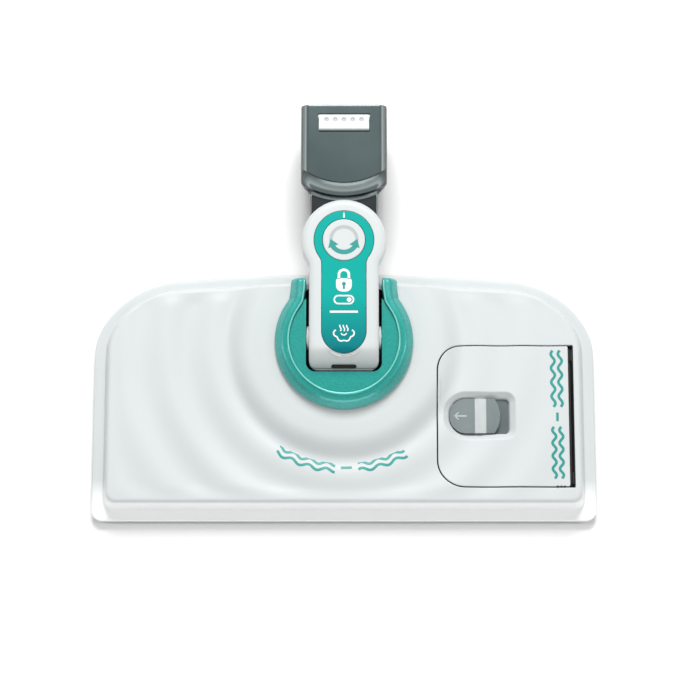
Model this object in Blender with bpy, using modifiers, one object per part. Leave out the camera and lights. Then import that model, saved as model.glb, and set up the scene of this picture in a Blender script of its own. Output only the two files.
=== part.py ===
"""Floor head of a steam mop, with its tilting and swivelling neck and the socket
for the mop's body.

The origin is on the floor, below the middle of the round yoke that holds the
neck. +X is the head's right, +Y its rear and +Z up. Sizes are in millimetres
and are turned into metres where a shape is made.
"""

import math

import bmesh
import bpy

MM = 0.001

# Driving dimensions, in millimetres.
GAP = 0.3

HEAD_HALF_WIDTH = 150.0
HEAD_FRONT = -104.5
HEAD_REAR = 46.0
FRONT_CORNER_R = 6.5
REAR_CORNER_R = 50.0
REAR_BOW = 0.00045
SOLE_THICKNESS = 3.0
FLANGE_TOP = 6.0
FLANGE_WIDTH = 7.0
PLATEAU_Z = 19.5
DOME_Z = 28.0
DOME_R = 56.0
SKIRT_R = 72.0
WALL = 2.3
WELL_R = 38.2

YOKE_R = 41.0
YOKE_CREST_R = 34.0
YOKE_BASE_Z = 28.3
YOKE_CREST_Z = 36.6
YOKE_FACE_Z = 34.8
CHANNEL_HALF_WIDTH = 22.3
CHANNEL_FRONT = -19.4
EAR_OUTER = 31.0
EAR_REAR = 37.0

AXIS_Y = 1.5
AXIS_Z = 29.0
NECK_HALF_WIDTH = 20.4
NECK_TOP = 46.4
BARREL_R = 17.4
NOSE_R = 19.4
STEM_UNDER = 34.0
HEAD_UNDER = 38.4
NECK_HEAD_R = 25.0
SWIVEL_Y = 57.0
NECK_WALL = 2.2
NECK_SPLIT_Z = 41.5

ARM_TOP = 38.1
ARM_BOTTOM = 33.4
ARM_HALF_WIDTH = 20.5
SOCKET_HALF_WIDTH = 25.5
SOCKET_TOP = 46.4
SOCKET_BOTTOM = 14.4
SOCKET_FRONT = 94.0
SOCKET_REAR = 140.0
SOCKET_WALL = 2.8
SOCKET_SPLIT_Z = 30.4
PANEL_FRONT = 91.0

DOOR = (54.3, 133.8, -85.8, -1.3)
DOOR_CORNER_R = 16.0
DOOR_AXIS_X = 135.15
DOOR_AXIS_Z = 18.1
HINGE_GAP_RIGHT = 136.7
HINGE_PIN_R = 0.6
POCKET = (62.3, 98.0, -54.7, -29.3)

BUTTON_HALF_WIDTH = 15.0
BUTTON_FRONT = 123.9
BUTTON_REAR = 134.0


# ---------------------------------------------------------------- groundwork

def clear_scene():
    for leftover in list(bpy.data.objects):
        bpy.data.objects.remove(leftover, do_unlink=True)


def new_collection(name):
    group = bpy.data.collections.new(name)
    bpy.context.scene.collection.children.link(group)
    return group


clear_scene()
PARTS = new_collection("steam_mop_head")
CUTTERS = new_collection("cutters")
MATERIALS = {}


def material(name, colour, roughness, metallic=0.0):
    """A Principled material, made once for each finish."""
    made = bpy.data.materials.new(name)
    made.use_nodes = True
    shader = made.node_tree.nodes["Principled BSDF"]
    shader.inputs["Base Color"].default_value = (*colour, 1.0)
    shader.inputs["Roughness"].default_value = roughness
    shader.inputs["Metallic"].default_value = metallic
    MATERIALS[name] = made


def make_materials():
    material("white_plastic", (0.80, 0.83, 0.83), 0.32)
    material("pearl_teal", (0.05, 0.38, 0.35), 0.30, 0.35)
    material("label_teal", (0.02, 0.48, 0.43), 0.35)
    material("grey_plastic", (0.16, 0.19, 0.19), 0.38)
    material("black_plastic", (0.02, 0.02, 0.022), 0.5)
    material("sole_plastic", (0.10, 0.12, 0.12), 0.5)
    material("steel", (0.55, 0.55, 0.56), 0.25, 1.0)
    material("brass", (0.62, 0.45, 0.20), 0.30, 1.0)
    material("silicone", (0.55, 0.20, 0.12), 0.6)
    material("clear_silicone", (0.62, 0.64, 0.62), 0.45)
    material("felt", (0.72, 0.70, 0.62), 0.95)
    material("hook_strip", (0.05, 0.05, 0.055), 0.95)


def adopt(obj, name, finish):
    """Name an object and put it in the parts, or in the cutters without a finish."""
    obj.name = name
    obj.data.name = name
    for owner in list(obj.users_collection):
        owner.objects.unlink(obj)
    if finish is None:
        CUTTERS.objects.link(obj)
        obj.hide_render = True
        obj.display_type = "WIRE"
    else:
        PARTS.objects.link(obj)
        obj.data.materials.clear()
        obj.data.materials.append(MATERIALS[finish])
    return obj


def smooth(obj, angle=35.0):
    obj.data.shade_smooth()
    obj.data.set_sharp_from_angle(angle=math.radians(angle))
    return obj


def from_bmesh(mesh_data, name, finish):
    mesh = bpy.data.meshes.new(name)
    mesh_data.to_mesh(mesh)
    mesh_data.free()
    obj = bpy.data.objects.new(name, mesh)
    bpy.context.scene.collection.objects.link(obj)
    return adopt(obj, name, finish)


# ---------------------------------------------------------------- shapes

def box(name, x, y, z, finish=None, bevel=0.0):
    """A block between the two limits given for each axis."""
    shape = bmesh.new()
    bmesh.ops.create_cube(shape, size=1.0)
    for vertex in shape.verts:
        for axis, limits in enumerate((x, y, z)):
            middle = (limits[0] + limits[1]) / 2.0
            vertex.co[axis] = (middle + vertex.co[axis] * (limits[1] - limits[0])) * MM
    obj = from_bmesh(shape, name, finish)
    if bevel:
        round_edges(obj, bevel)
    return obj


def round_edges(obj, width, segments=2, angle=40.0):
    rounding = obj.modifiers.new("rounded edges", "BEVEL")
    rounding.width = width * MM
    rounding.segments = segments
    rounding.limit_method = "ANGLE"
    rounding.angle_limit = math.radians(angle)


def turn_to(obj, direction):
    """Lay a shape made along Z along X or Y instead."""
    if direction == "X":
        obj.rotation_euler = (0.0, math.pi / 2, 0.0)
    if direction == "Y":
        obj.rotation_euler = (-math.pi / 2, 0.0, 0.0)


def rod(name, radius, centre, length, direction="Z", finish=None, sides=24):
    """A round bar, centred at a point."""
    shape = bmesh.new()
    bmesh.ops.create_cone(shape, cap_ends=True, segments=sides, radius1=radius * MM,
                          radius2=radius * MM, depth=length * MM)
    obj = from_bmesh(shape, name, finish)
    obj.location = [value * MM for value in centre]
    turn_to(obj, direction)
    return smooth(obj)


def turned(name, profile, centre, direction="Z", finish=None, sides=32, closed=False):
    """A profile of (radius, height) points, run down its outer side, turned about Z.

    An open profile starts and ends on the axis; a closed one makes a ring.
    """
    mesh = bpy.data.meshes.new(name)
    points = [(radius * MM, 0.0, height * MM) for radius, height in profile]
    links = [(i, i + 1) for i in range(len(points) - 1)]
    if closed:
        links.append((len(points) - 1, 0))
    mesh.from_pydata(points, links, [])
    obj = bpy.data.objects.new(name, mesh)
    bpy.context.scene.collection.objects.link(obj)
    adopt(obj, name, finish)
    lathe = obj.modifiers.new("turned", "SCREW")
    lathe.angle = math.tau
    lathe.steps = sides
    lathe.render_steps = sides
    lathe.use_merge_vertices = True
    lathe.merge_threshold = 0.00001
    lathe.use_smooth_shade = True
    obj.location = [value * MM for value in centre]
    turn_to(obj, direction)
    return obj


def ring(name, inner, outer, low, high, centre, direction="Z", finish=None, sides=24):
    """A flat washer or a plain bush, between two heights along its axis."""
    profile = [(inner, high), (outer, high), (outer, low), (inner, low)]
    return turned(name, profile, centre, direction, finish, sides, closed=True)


def seal(name, radius, thickness, centre, direction):
    """A rubber ring of round section."""
    turns = [math.tau * i / 6 for i in range(6)]
    profile = [(radius + thickness * math.cos(a), -thickness * math.sin(a)) for a in turns]
    return turned(name, profile, centre, direction, "silicone", 16, closed=True)


def arc(x, y, radius, start, end, count=8):
    """Points along an arc, with its angles in degrees."""
    step = (end - start) / count
    angles = [math.radians(start + step * i) for i in range(count + 1)]
    return [(x + radius * math.cos(a), y + radius * math.sin(a)) for a in angles]


def rounded(x, y, radii, count=6):
    """A rectangle's outline; radii are those of its (+,+), (-,+), (-,-) and (+,-) corners."""
    corners = ((x[1], y[1], -1, -1), (x[0], y[1], 1, -1), (x[0], y[0], 1, 1), (x[1], y[0], -1, 1))
    outline = []
    for quarter, ((px, py, sx, sy), radius) in enumerate(zip(corners, radii)):
        start = 90.0 * quarter
        outline += arc(px + sx * radius, py + sy * radius, radius, start, start + 90.0, count)
    return outline


def prism(name, outline, low, high, plane="XY", finish=None):
    """A flat outline given a thickness; plane says which two axes the outline is in."""
    curve = bpy.data.curves.new(name, "CURVE")
    curve.dimensions = "2D"
    curve.fill_mode = "BOTH"
    curve.extrude = (high - low) / 2.0 * MM
    spline = curve.splines.new("POLY")
    spline.points.add(len(outline) - 1)
    for point, (u, v) in zip(spline.points, outline):
        point.co = (u * MM, v * MM, 0.0, 1.0)
    spline.use_cyclic_u = True
    flat = bpy.data.objects.new(name, curve)
    bpy.context.scene.collection.objects.link(flat)
    obj = as_mesh(flat, name, finish)
    middle = (high + low) / 2.0 * MM
    if plane == "XY":
        obj.location = (0.0, 0.0, middle)
    if plane == "YZ":
        obj.rotation_euler = (math.pi / 2, 0.0, math.pi / 2)
        obj.location = (middle, 0.0, 0.0)
    if plane == "XZ":
        obj.rotation_euler = (math.pi / 2, 0.0, 0.0)
        obj.location = (0.0, middle, 0.0)
    return obj


def as_mesh(curved, name, finish):
    """Change a curve object into a mesh with its caps welded on."""
    bpy.context.view_layer.update()
    evaluated = curved.evaluated_get(bpy.context.evaluated_depsgraph_get())
    mesh = bpy.data.meshes.new_from_object(evaluated)
    shape = bmesh.new()
    shape.from_mesh(mesh)
    bmesh.ops.remove_doubles(shape, verts=shape.verts, dist=0.000002)
    bmesh.ops.recalc_face_normals(shape, faces=shape.faces)
    shape.to_mesh(mesh)
    shape.free()
    obj = bpy.data.objects.new(name, mesh)
    obj.matrix_world = curved.matrix_world
    bpy.context.scene.collection.objects.link(obj)
    bpy.data.objects.remove(curved, do_unlink=True)
    return adopt(obj, name, finish)


def tube(name, route, radius, finish=None, steps=6, resolution=2):
    """A hose or bent pipe along a smooth curve through the points of its route."""
    curve = bpy.data.curves.new(name, "CURVE")
    curve.dimensions = "3D"
    curve.bevel_depth = radius * MM
    curve.bevel_resolution = resolution
    curve.use_fill_caps = True
    spline = curve.splines.new("POLY")
    points = smooth_route(route, steps)
    spline.points.add(len(points) - 1)
    for point, place in zip(spline.points, points):
        point.co = (*[value * MM for value in place], 1.0)
    bent = bpy.data.objects.new(name, curve)
    bpy.context.scene.collection.objects.link(bent)
    return smooth(as_mesh(bent, name, finish), 50.0)


def smooth_route(route, steps):
    """Points along a Catmull-Rom curve through the route."""
    ends = [route[0], *route, route[-1]]
    points = []
    for before, start, end, after in zip(ends, ends[1:], ends[2:], ends[3:]):
        for step in range(steps):
            t = step / steps
            point = []
            for a, b, c, d in zip(before, start, end, after):
                even = 2 * b + (c - a) * t
                bend = (2 * a - 5 * b + 4 * c - d) * t * t + (3 * b - a - 3 * c + d) * t ** 3
                point.append((even + bend) / 2.0)
            points.append(point)
    return points + [list(route[-1])]


def combine(obj, other, operation):
    step = obj.modifiers.new(f"{operation.lower()} {other.name}", "BOOLEAN")
    step.operation = operation
    step.object = other
    step.solver = "EXACT"
    return obj


def cut(obj, *cutters):
    for cutter in cutters:
        combine(obj, cutter, "DIFFERENCE")
    return obj


def join(obj, *others):
    for other in others:
        combine(obj, other, "UNION")
    return obj


def keep_inside(obj, *others):
    for other in others:
        combine(obj, other, "INTERSECT")
    return obj


def pivot(name, place, pieces):
    """Hang pieces on an empty that stands on a joint's axis."""
    empty = bpy.data.objects.new(name, None)
    empty.empty_display_size = 0.01
    empty.location = [value * MM for value in place]
    bpy.context.scene.collection.objects.link(empty)
    for piece in pieces:
        piece.parent = empty
        piece.matrix_parent_inverse.translation = -empty.location
    return empty


def screw(name, place, length, head_up=True):
    """A pan-head screw with a square recess; place is under its head."""
    sign = 1.0 if head_up else -1.0
    profile = [(0.0, 1.8), (1.9, 1.8), (2.4, 1.2), (2.4, 0.0), (1.1, 0.0), (1.1, -length),
               (0.0, -length)]
    if not head_up:
        profile = [(radius, -height) for radius, height in reversed(profile)]
    obj = turned(name, profile, place, finish="steel", sides=8)
    recess = rod(f"{name}_recess", 1.1, (place[0], place[1], place[2] + sign * 1.8), 1.8, sides=4)
    return cut(obj, recess)


# ---------------------------------------------------------------- head outline and its surface

def rear_bow(x, y):
    """How far the slightly bowed rear edge lies ahead of a straight one, fading forwards."""
    straight = REAR_CORNER_R - HEAD_REAR
    share = min(max((y + straight) / REAR_CORNER_R, 0.0), 1.0)
    return REAR_BOW * x * x * share


def outline_distance(x, y):
    """Signed distance from the head's outline, negative inside."""
    y += rear_bow(x, y)
    radius = REAR_CORNER_R if y > HEAD_REAR - REAR_CORNER_R else FRONT_CORNER_R
    edge = HEAD_REAR if y > HEAD_REAR - REAR_CORNER_R else HEAD_FRONT
    dx = abs(x) - (HEAD_HALF_WIDTH - radius)
    dy = (y - edge + radius) if edge > 0 else (edge + radius - y)
    outside = math.hypot(max(dx, 0.0), max(dy, 0.0))
    return outside + min(max(dx, dy), 0.0) - radius


def reach(angle, inset):
    """How far from the origin the outline lies, moved in by inset, at an angle."""
    low, high = 0.0, 220.0
    for _ in range(40):
        middle = (low + high) / 2.0
        if outline_distance(middle * math.cos(angle), middle * math.sin(angle)) < -inset:
            low = middle
        else:
            high = middle
    return low


def surface_height(radius):
    """The top surface: a low dome round the yoke, a bell skirt and a flat plateau."""
    if radius < DOME_R:
        return DOME_Z - (radius / DOME_R) ** 2
    fall = min((radius - DOME_R) / (SKIRT_R - DOME_R), 1.0)
    eased = fall * fall * (3.0 - 2.0 * fall)
    return (DOME_Z - 1.0) + (PLATEAU_Z - DOME_Z + 1.0) * eased


def ray_angles(count):
    """Closer rays through the four corners, and even ones where those leave room."""
    corners = ((HEAD_FRONT + FRONT_CORNER_R, FRONT_CORNER_R, 270.0, 90.0, 4),
               (HEAD_REAR - REAR_CORNER_R, REAR_CORNER_R, 90.0, -90.0, 6))
    close = []
    for side in (-1.0, 1.0):
        for y, radius, start, turn, steps in corners:
            x = side * (HEAD_HALF_WIDTH - radius)
            for px, py in arc(x, y, radius, start, start + side * turn, steps):
                close.append(math.atan2(py, px) % math.tau)
    even = [math.tau * (i + 0.5) / count for i in range(count)]
    room = math.radians(2.0)
    return sorted(close + [a for a in even if min(abs(a - b) for b in close) > room])


def head_solid(name, inset, drop, low, finish=None, rays=42):
    """The head as one solid; inset and drop make the smaller one that hollows it."""
    angles = ray_angles(rays)
    flange = FLANGE_TOP - drop
    # Each ring: how far in from the outline, and its share of the step's height.
    rim = [(0.0, None, low), (0.0, None, flange - 0.8), (0.8, None, flange),
           (FLANGE_WIDTH, None, flange), (FLANGE_WIDTH + 2.4, 0.72, None),
           (FLANGE_WIDTH + 3.6, 0.93, None), (FLANGE_WIDTH + 5.6, 1.0, None)]
    if inset:
        del rim[1:3]
    shape = bmesh.new()
    rings = []
    for moved_in, share, fixed in rim:
        row = []
        for angle in angles:
            radius = reach(angle, moved_in + inset)
            top = surface_height(radius) - drop
            height = fixed if share is None else flange + share * (top - flange)
            row.append((radius, angle, height))
        rings.append(row)
    # Inside the step the rings are circles that follow the skirt and the dome, but never
    # reach past a share of the step's own outline.
    step = (SKIRT_R - DOME_R) / 3
    circles = (SKIRT_R, SKIRT_R - step, DOME_R + step, DOME_R, 44.0, 30.0)
    edge_of_top = rings[-1]
    for number, circle in enumerate(circles, 1):
        row = []
        for outer in edge_of_top:
            radius = min(circle, outer[0] * (1.0 - 0.05 * number))
            row.append((radius, outer[1], surface_height(radius) - drop))
        rings.append(row)
    loops = []
    for row in rings:
        loops.append([shape.verts.new((r * math.cos(a) * MM, r * math.sin(a) * MM, z * MM))
                      for r, a, z in row])
    count = len(angles)
    for lower, upper in zip(loops, loops[1:]):
        for i in range(count):
            shape.faces.new((lower[i], lower[(i + 1) % count], upper[(i + 1) % count], upper[i]))
    shape.faces.new(loops[-1])
    shape.faces.new(list(reversed(loops[0])))
    bmesh.ops.recalc_face_normals(shape, faces=shape.faces)
    return smooth(from_bmesh(shape, name, finish), 30.0)


def grown(limits, amount):
    """A box's or outline's limits, made larger by the same amount all round."""
    low_x, high_x, low_y, high_y = limits
    return (low_x - amount, high_x + amount), (low_y - amount, high_y + amount)


# ---------------------------------------------------------------- the sole and what lies on it

SCREW_PLACES = ((-130.0, -90.2), (130.0, -90.2), (-122.0, 14.0), (122.0, 14.0),
                (-44.0, -90.2), (44.0, -90.2))
CRADLE_SCREW_PLACES = ((-16.0, 21.0), (16.0, 21.0))
HOOK_STRIPS = {"hook_strip_left": (-128.0, -48.0), "hook_strip_right": (48.0, 128.0)}
STRIP_Y = (-24.0, -4.0)
MANIFOLD = (-46.0, 46.0, -82.0, -28.0)


def make_sole():
    x, y = (1.0 - HEAD_HALF_WIDTH, HEAD_HALF_WIDTH - 1.0), (HEAD_FRONT + 1.0, HEAD_REAR - 1.0)
    rear, front = REAR_CORNER_R - 1.0, FRONT_CORNER_R - 1.0
    corners = rounded(x, y, (rear, rear, front, front), 7)
    rear_edge = [(px, y[1]) for px in (75.0, 50.0, 25.0, 0.0, -25.0, -50.0, -75.0)]
    straight = corners[:8] + rear_edge + corners[8:]
    outline = [(px, py - rear_bow(px, py)) for px, py in straight]
    sole = prism("sole_plate", outline, 0.0, SOLE_THICKNESS - GAP, finish="sole_plastic")
    for i in range(8):
        x = -35.0 + 10.0 * i
        cut(sole, rod(f"steam_hole_{i + 1}", 1.5, (x, -56.0, 1.5), 8.0, sides=8))
    for name, x in HOOK_STRIPS.items():
        cut(sole, box(f"{name}_recess", x, STRIP_Y, (-1.0, 1.5)))
        inside = (x[0] + GAP, x[1] - GAP)
        box(name, inside, (STRIP_Y[0] + GAP, STRIP_Y[1] - GAP), (0.1, 1.2), "hook_strip")
    for number, (x, y) in enumerate(SCREW_PLACES + CRADLE_SCREW_PLACES, 1):
        cut(sole, rod(f"screw_well_{number}", 2.8, (x, y, 0.0), 4.4, sides=12))
        cut(sole, rod(f"screw_hole_{number}", 1.5, (x, y, 2.0), 4.0, sides=8))
    return sole


def make_manifold():
    x, y = MANIFOLD[:2], MANIFOLD[2:]
    low = SOLE_THICKNESS
    gasket = box("manifold_gasket", x, y, (low, low + 1.0), "silicone")
    cut(gasket, box("gasket_window", (x[0] + 3, x[1] - 3), (y[0] + 3, y[1] - 3), (0.0, 9.0)))
    body = box("steam_manifold", x, y, (low + 1.0 + GAP, 12.0), "black_plastic", 0.8)
    hollow = box("manifold_hollow", (x[0] + 2, x[1] - 2), (y[0] + 2, y[1] - 2), (0.0, 10.0))
    spigot = rod("manifold_spigot", 2.4, (-36.0, -32.0, 13.0), 6.0)
    bore = rod("spigot_bore", 1.2, (-36.0, -32.0, 13.0), 9.0, sides=12)
    cut(join(body, spigot), hollow, bore)


# ---------------------------------------------------------------- upper shell and door

def door_solid(name, amount, finish=None):
    """The door's outline as a tall block, made larger by amount all round."""
    x, y = grown(DOOR, amount)
    large, small = DOOR_CORNER_R + amount, max(1.0 + amount, 0.4)
    return prism(name, rounded(x, y, (small, large, large, small), 6), 8.0, 40.0, finish=finish)


def screw_post(name, place, low, high):
    post = rod(f"{name}_post", 3.6, (place[0], place[1], (low + high) / 2), high - low, sides=12)
    return post


def make_upper_shell():
    shell = head_solid("upper_shell", 0.0, 0.0, SOLE_THICKNESS, "white_plastic")
    cut(shell, head_solid("shell_hollow", WALL, WALL, -1.0, rays=28))
    for number, (x, y) in enumerate(SCREW_PLACES, 1):
        join(shell, screw_post(f"shell_{number}", (x, y), SOLE_THICKNESS, PLATEAU_Z - 1.5))
    for number, (x, y) in enumerate(SCREW_PLACES, 1):
        cut(shell, rod(f"shell_bore_{number}", 1.4, (x, y, 5.0), 13.0, sides=8))
    cut(shell, rod("well_opening", WELL_R, (0.0, 0.0, 30.0), 20.0, sides=40))
    cut(shell, door_solid("door_opening", 0.45))
    x, y = (DOOR[1] - 2.0, HINGE_GAP_RIGHT), (DOOR[2] - 0.45, DOOR[3] + 0.45)
    cut(shell, box("hinge_gap", x, y, (8.0, 40.0)))
    for number, side in enumerate((-1.0, 1.0), 1):
        y_mid = (DOOR[2] + DOOR[3]) / 2 + side * ((DOOR[3] - DOOR[2]) / 2 + 2.4)
        lug = box(f"hinge_lug_{number}", (131.5, 138.5), (y_mid - 1.9, y_mid + 1.9), (14.5, 18.9))
        join(shell, lug)
    pin_bore = rod("hinge_pin_bore", HINGE_PIN_R + GAP, (DOOR_AXIS_X, -43.55, DOOR_AXIS_Z), 95.0,
                   "Y", sides=12)
    cut(shell, pin_bore)
    return shell


def make_door():
    door = head_solid("perfume_door", 0.0, 0.0, SOLE_THICKNESS, "white_plastic")
    cut(door, head_solid("door_hollow", WALL, WALL, -1.0, rays=28))
    keep_inside(door, door_solid("door_block", 0.0))
    # A tub under the panel holds the latch; knuckles at both ends ride on the hinge pin.
    tub = prism("latch_tub", rounded((59.9, 100.4), (-57.1, -26.9), (6, 14, 14, 6), 5), 12.3, 18.6)
    join(door, tub)
    pocket = prism("latch_pocket", rounded(POCKET[:2], POCKET[2:], (4, 12.6, 12.6, 4), 6), 14.0, 30.0)
    cut(door, pocket)
    cut(door, box("tongue_hole", (50.0, 66.0), (-46.6, -37.4), (14.1, 16.3)))
    cut(door, box("leg_slot", (70.4, 84.2), (-51.4, -48.2), (10.0, 16.0)))
    for number, y in enumerate(((-83.6, -77.0), (-10.1, -3.5)), 1):
        arm = box(f"knuckle_arm_{number}", (129.0, DOOR_AXIS_X), y, (16.9, 18.6))
        barrel = rod(f"knuckle_{number}", 1.25, (DOOR_AXIS_X, sum(y) / 2, DOOR_AXIS_Z),
                     y[1] - y[0], "Y", sides=12)
        hollow = rod(f"knuckle_bore_{number}", HINGE_PIN_R + GAP,
                     (DOOR_AXIS_X, sum(y) / 2, DOOR_AXIS_Z), 12.0, "Y", sides=10)
        cut(join(door, arm, barrel), hollow)
    # The panel's hinge edge is trimmed to a slope, so that it swings clear of the shell.
    slope = [(DOOR[1] - 1.4, PLATEAU_Z + 0.2), (DOOR[1] + 0.2, PLATEAU_Z - 1.4),
             (DOOR[1] + 0.2, PLATEAU_Z + 0.2)]
    cut(door, prism("hinge_edge_slope", slope, -90.0, 5.0, "XZ"))
    return door


def make_latch():
    x, y = POCKET[:2], POCKET[2:]
    plan = rounded((x[0] + 0.4, 92.6), (y[0] + 0.4, y[1] - 0.4), (4.5, 12.2, 12.2, 4.5), 6)
    slider = prism("latch_slider", plan, 14.3, 16.6, finish="grey_plastic")
    grip = prism("latch_grip", rounded((76.8, 91.8), (-54.3, -29.7), (4.4, 1, 1, 4.4), 3), 16.0, 18.4)
    tongue = box("latch_tongue", (55.3, 66.0), (-46.2, -37.8), (14.4, 16.0))
    leg = box("latch_leg", (71.0, 78.0), (-51.0, -48.6), (11.9, 15.0))
    join(slider, grip, tongue, leg)
    cut(slider, box("spring_groove", (71.0, 96.0), (-44.4, -39.6), (13.0, 17.6)))
    foot = box("latch_retainer", (69.0, 80.0), (-53.0, -46.6), (10.9, 11.6), "grey_plastic")
    coil = coil_spring("latch_spring", (72.0, 90.6), (-42.0, 15.9), 1.35, 0.28, 5, "X")
    return slider, foot, coil


def coil_spring(name, span, middle, radius, wire, turns, direction):
    """A compression spring: a helix of round wire between the two ends of its span."""
    count = turns * 8
    route = []
    for step in range(count + 1):
        angle = math.tau * step / 8
        along = span[0] + (span[1] - span[0]) * step / count
        side = (middle[0] + radius * math.cos(angle), middle[1] + radius * math.sin(angle))
        route.append((along, *side) if direction == "X" else (*side, along))
    return tube(name, route, wire, "steel", steps=1, resolution=0)


def make_compartment():
    x, y = (62.0, 128.0), (-80.0, -8.0)
    cup = box("perfume_cup", x, y, (SOLE_THICKNESS, 11.2), "black_plastic")
    cut(cup, box("cup_hollow", (x[0] + 1.6, x[1] - 1.6), (y[0] + 1.6, y[1] - 1.6), (4.6, 20.0)))
    box("perfume_pad", (x[0] + 2.6, x[1] - 2.6), (y[0] + 2.6, y[1] - 2.6), (4.9, 6.9), "felt", 0.6)
    pin_y = ((DOOR[2] + DOOR[3]) / 2, 92.0)
    rod("door_hinge_pin", HINGE_PIN_R, (DOOR_AXIS_X, pin_y[0], DOOR_AXIS_Z), pin_y[1], "Y", "steel", 12)


# ---------------------------------------------------------------- yoke, cradle and tilt pivots

def make_yoke():
    top = [(0.0, YOKE_FACE_Z), (29.5, YOKE_FACE_Z), (31.6, YOKE_CREST_Z - 0.4),
           (YOKE_CREST_R, YOKE_CREST_Z), (36.4, YOKE_CREST_Z - 1.0), (38.8, YOKE_BASE_Z + 3.4),
           (YOKE_R, YOKE_BASE_Z + 1.4), (YOKE_R, YOKE_BASE_Z)]
    under = [(37.9, YOKE_BASE_Z), (36.0, YOKE_FACE_Z - WALL), (0.0, YOKE_FACE_Z - WALL)]
    yoke = turned("yoke_ring", top + under, (0.0, 0.0, 0.0), finish="pearl_teal", sides=44)
    for number, side in enumerate((-1.0, 1.0), 1):
        x = sorted((side * CHANNEL_HALF_WIDTH, side * EAR_OUTER))
        ear = prism(f"yoke_ear_{number}", rounded(x, (22.0, EAR_REAR), (1.5, 1.5, 1.5, 1.5), 3),
                    YOKE_BASE_Z, YOKE_CREST_Z + 0.6)
        round_edges(ear, 1.2, 1, 60.0)
        join(yoke, ear)
    # The neck's channel runs out through the rear of the ring, between the two ears.
    channel = prism("yoke_channel", rounded((-CHANNEL_HALF_WIDTH, CHANNEL_HALF_WIDTH),
                    (CHANNEL_FRONT, 60.0), (0.1, 0.1, 5.5, 5.5), 5), 20.0, 50.0)
    cut(yoke, channel, rod("pivot_room", 4.9, (0.0, AXIS_Y, AXIS_Z), 68.4, "X", sides=20))
    for number, side in enumerate((-1.0, 1.0), 1):
        cut(yoke, box(f"yoke_trim_{number}", sorted((side * (EAR_OUTER + 0.2), side * 60.0)),
                      (29.6, 60.0), (20.0, 50.0)))
        x = side * 30.5
        post = rod(f"yoke_post_{number}", 2.6, (x, -14.0, 31.2), 4.4, sides=16)
        join(yoke, post)
        cut(yoke, rod(f"yoke_bore_{number}", 1.4, (x, -14.0, 30.2), 5.6, sides=12))
        screw(f"yoke_screw_{number}", (x, -14.0, 26.2), 6.0, head_up=False)
    return yoke


def make_cradle():
    """The dark well that the neck's barrel turns in, with cheeks that carry the pivots."""
    wall = 3.4
    x = CHANNEL_HALF_WIDTH
    outer = rounded((-x - wall, x + wall), (CHANNEL_FRONT - wall, 26.0), (2, 2, 7, 7), 5)
    cradle = prism("hinge_cradle", outer, 5.2, 27.9, finish="black_plastic")
    for number, side in enumerate((-1.0, 1.0), 1):
        edge = sorted((side * (x + 0.02), side * (x + wall)))
        cheek = prism(f"cheek_{number}", rounded((AXIS_Y - 7, AXIS_Y + 7), (20.0, 32.2),
                      (3, 3, 0.1, 0.1), 4), edge[0], edge[1], "YZ")
        join(cradle, cheek)
        foot = prism(f"cradle_wing_{number}", rounded(sorted((side * 24.0, side * 34.0)),
                     (-18.0, -10.0), (2, 2, 2, 2), 3), 26.5, 28.1)
        join(cradle, foot)
        cut(cradle, rod(f"wing_hole_{number}", 1.5, (side * 30.5, -14.0, 27.0), 6.0, sides=12))
    inner = rounded((-x, x), (CHANNEL_FRONT, 40.0), (0.1, 0.1, 5.5, 5.5), 5)
    cut(cradle, prism("cradle_well", inner, 7.2, 60.0))
    bore = rod("pivot_bore", 3.5, (0.0, AXIS_Y, AXIS_Z), 70.0, "X", sides=20)
    cut(cradle, bore)
    for number, spot in enumerate(CRADLE_SCREW_PLACES, 1):
        base = rod(f"cradle_foot_{number}", 3.4, (*spot, 5.0), 4.0, sides=12)
        join(cradle, base)
        cut(cradle, rod(f"cradle_foot_bore_{number}", 1.4, (*spot, 4.0), 9.0, sides=8))
    leaf = [(-15.0, 7.5), (-4.0, 7.5), (-1.5, 8.7), (1.0, 7.5), (8.0, 7.5), (8.0, 8.0), (1.2, 8.0),
            (-1.5, 9.2), (-4.2, 8.0), (-15.0, 8.0)]
    prism("park_spring", list(reversed(leaf)), -6.0, 6.0, "YZ", "steel")
    return cradle


def make_tilt_pivots():
    axis = (0.0, AXIS_Y, AXIS_Z)
    pin = turned("pivot_pin", [(0.0, 33.6), (4.6, 33.6), (4.6, 26.3), (3.1, 26.3), (3.1, 15.4),
                               (0.0, 15.4)], axis, "X", "steel", 20)
    hollow = [(1.7, -13.2), (3.1, -13.2), (3.1, -26.3), (4.6, -26.3), (4.6, -28.0), (2.4, -28.0),
              (2.4, -31.4), (1.7, -31.4)]
    trunnion = turned("steam_trunnion", hollow, axis, "X", "brass", 20, closed=True)
    return pin, trunnion


# ---------------------------------------------------------------- neck

def neck_outline(shrink):
    """The neck in plan: a round head on a straight stem."""
    radius = NECK_HEAD_R - shrink
    half = NECK_HALF_WIDTH - shrink
    meet = math.degrees(math.asin(half / radius))
    head = arc(0.0, SWIVEL_Y, radius, -90.0 + meet, 270.0 - meet, 24)
    return head + [(-half, -30.0), (half, -30.0)]


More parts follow.
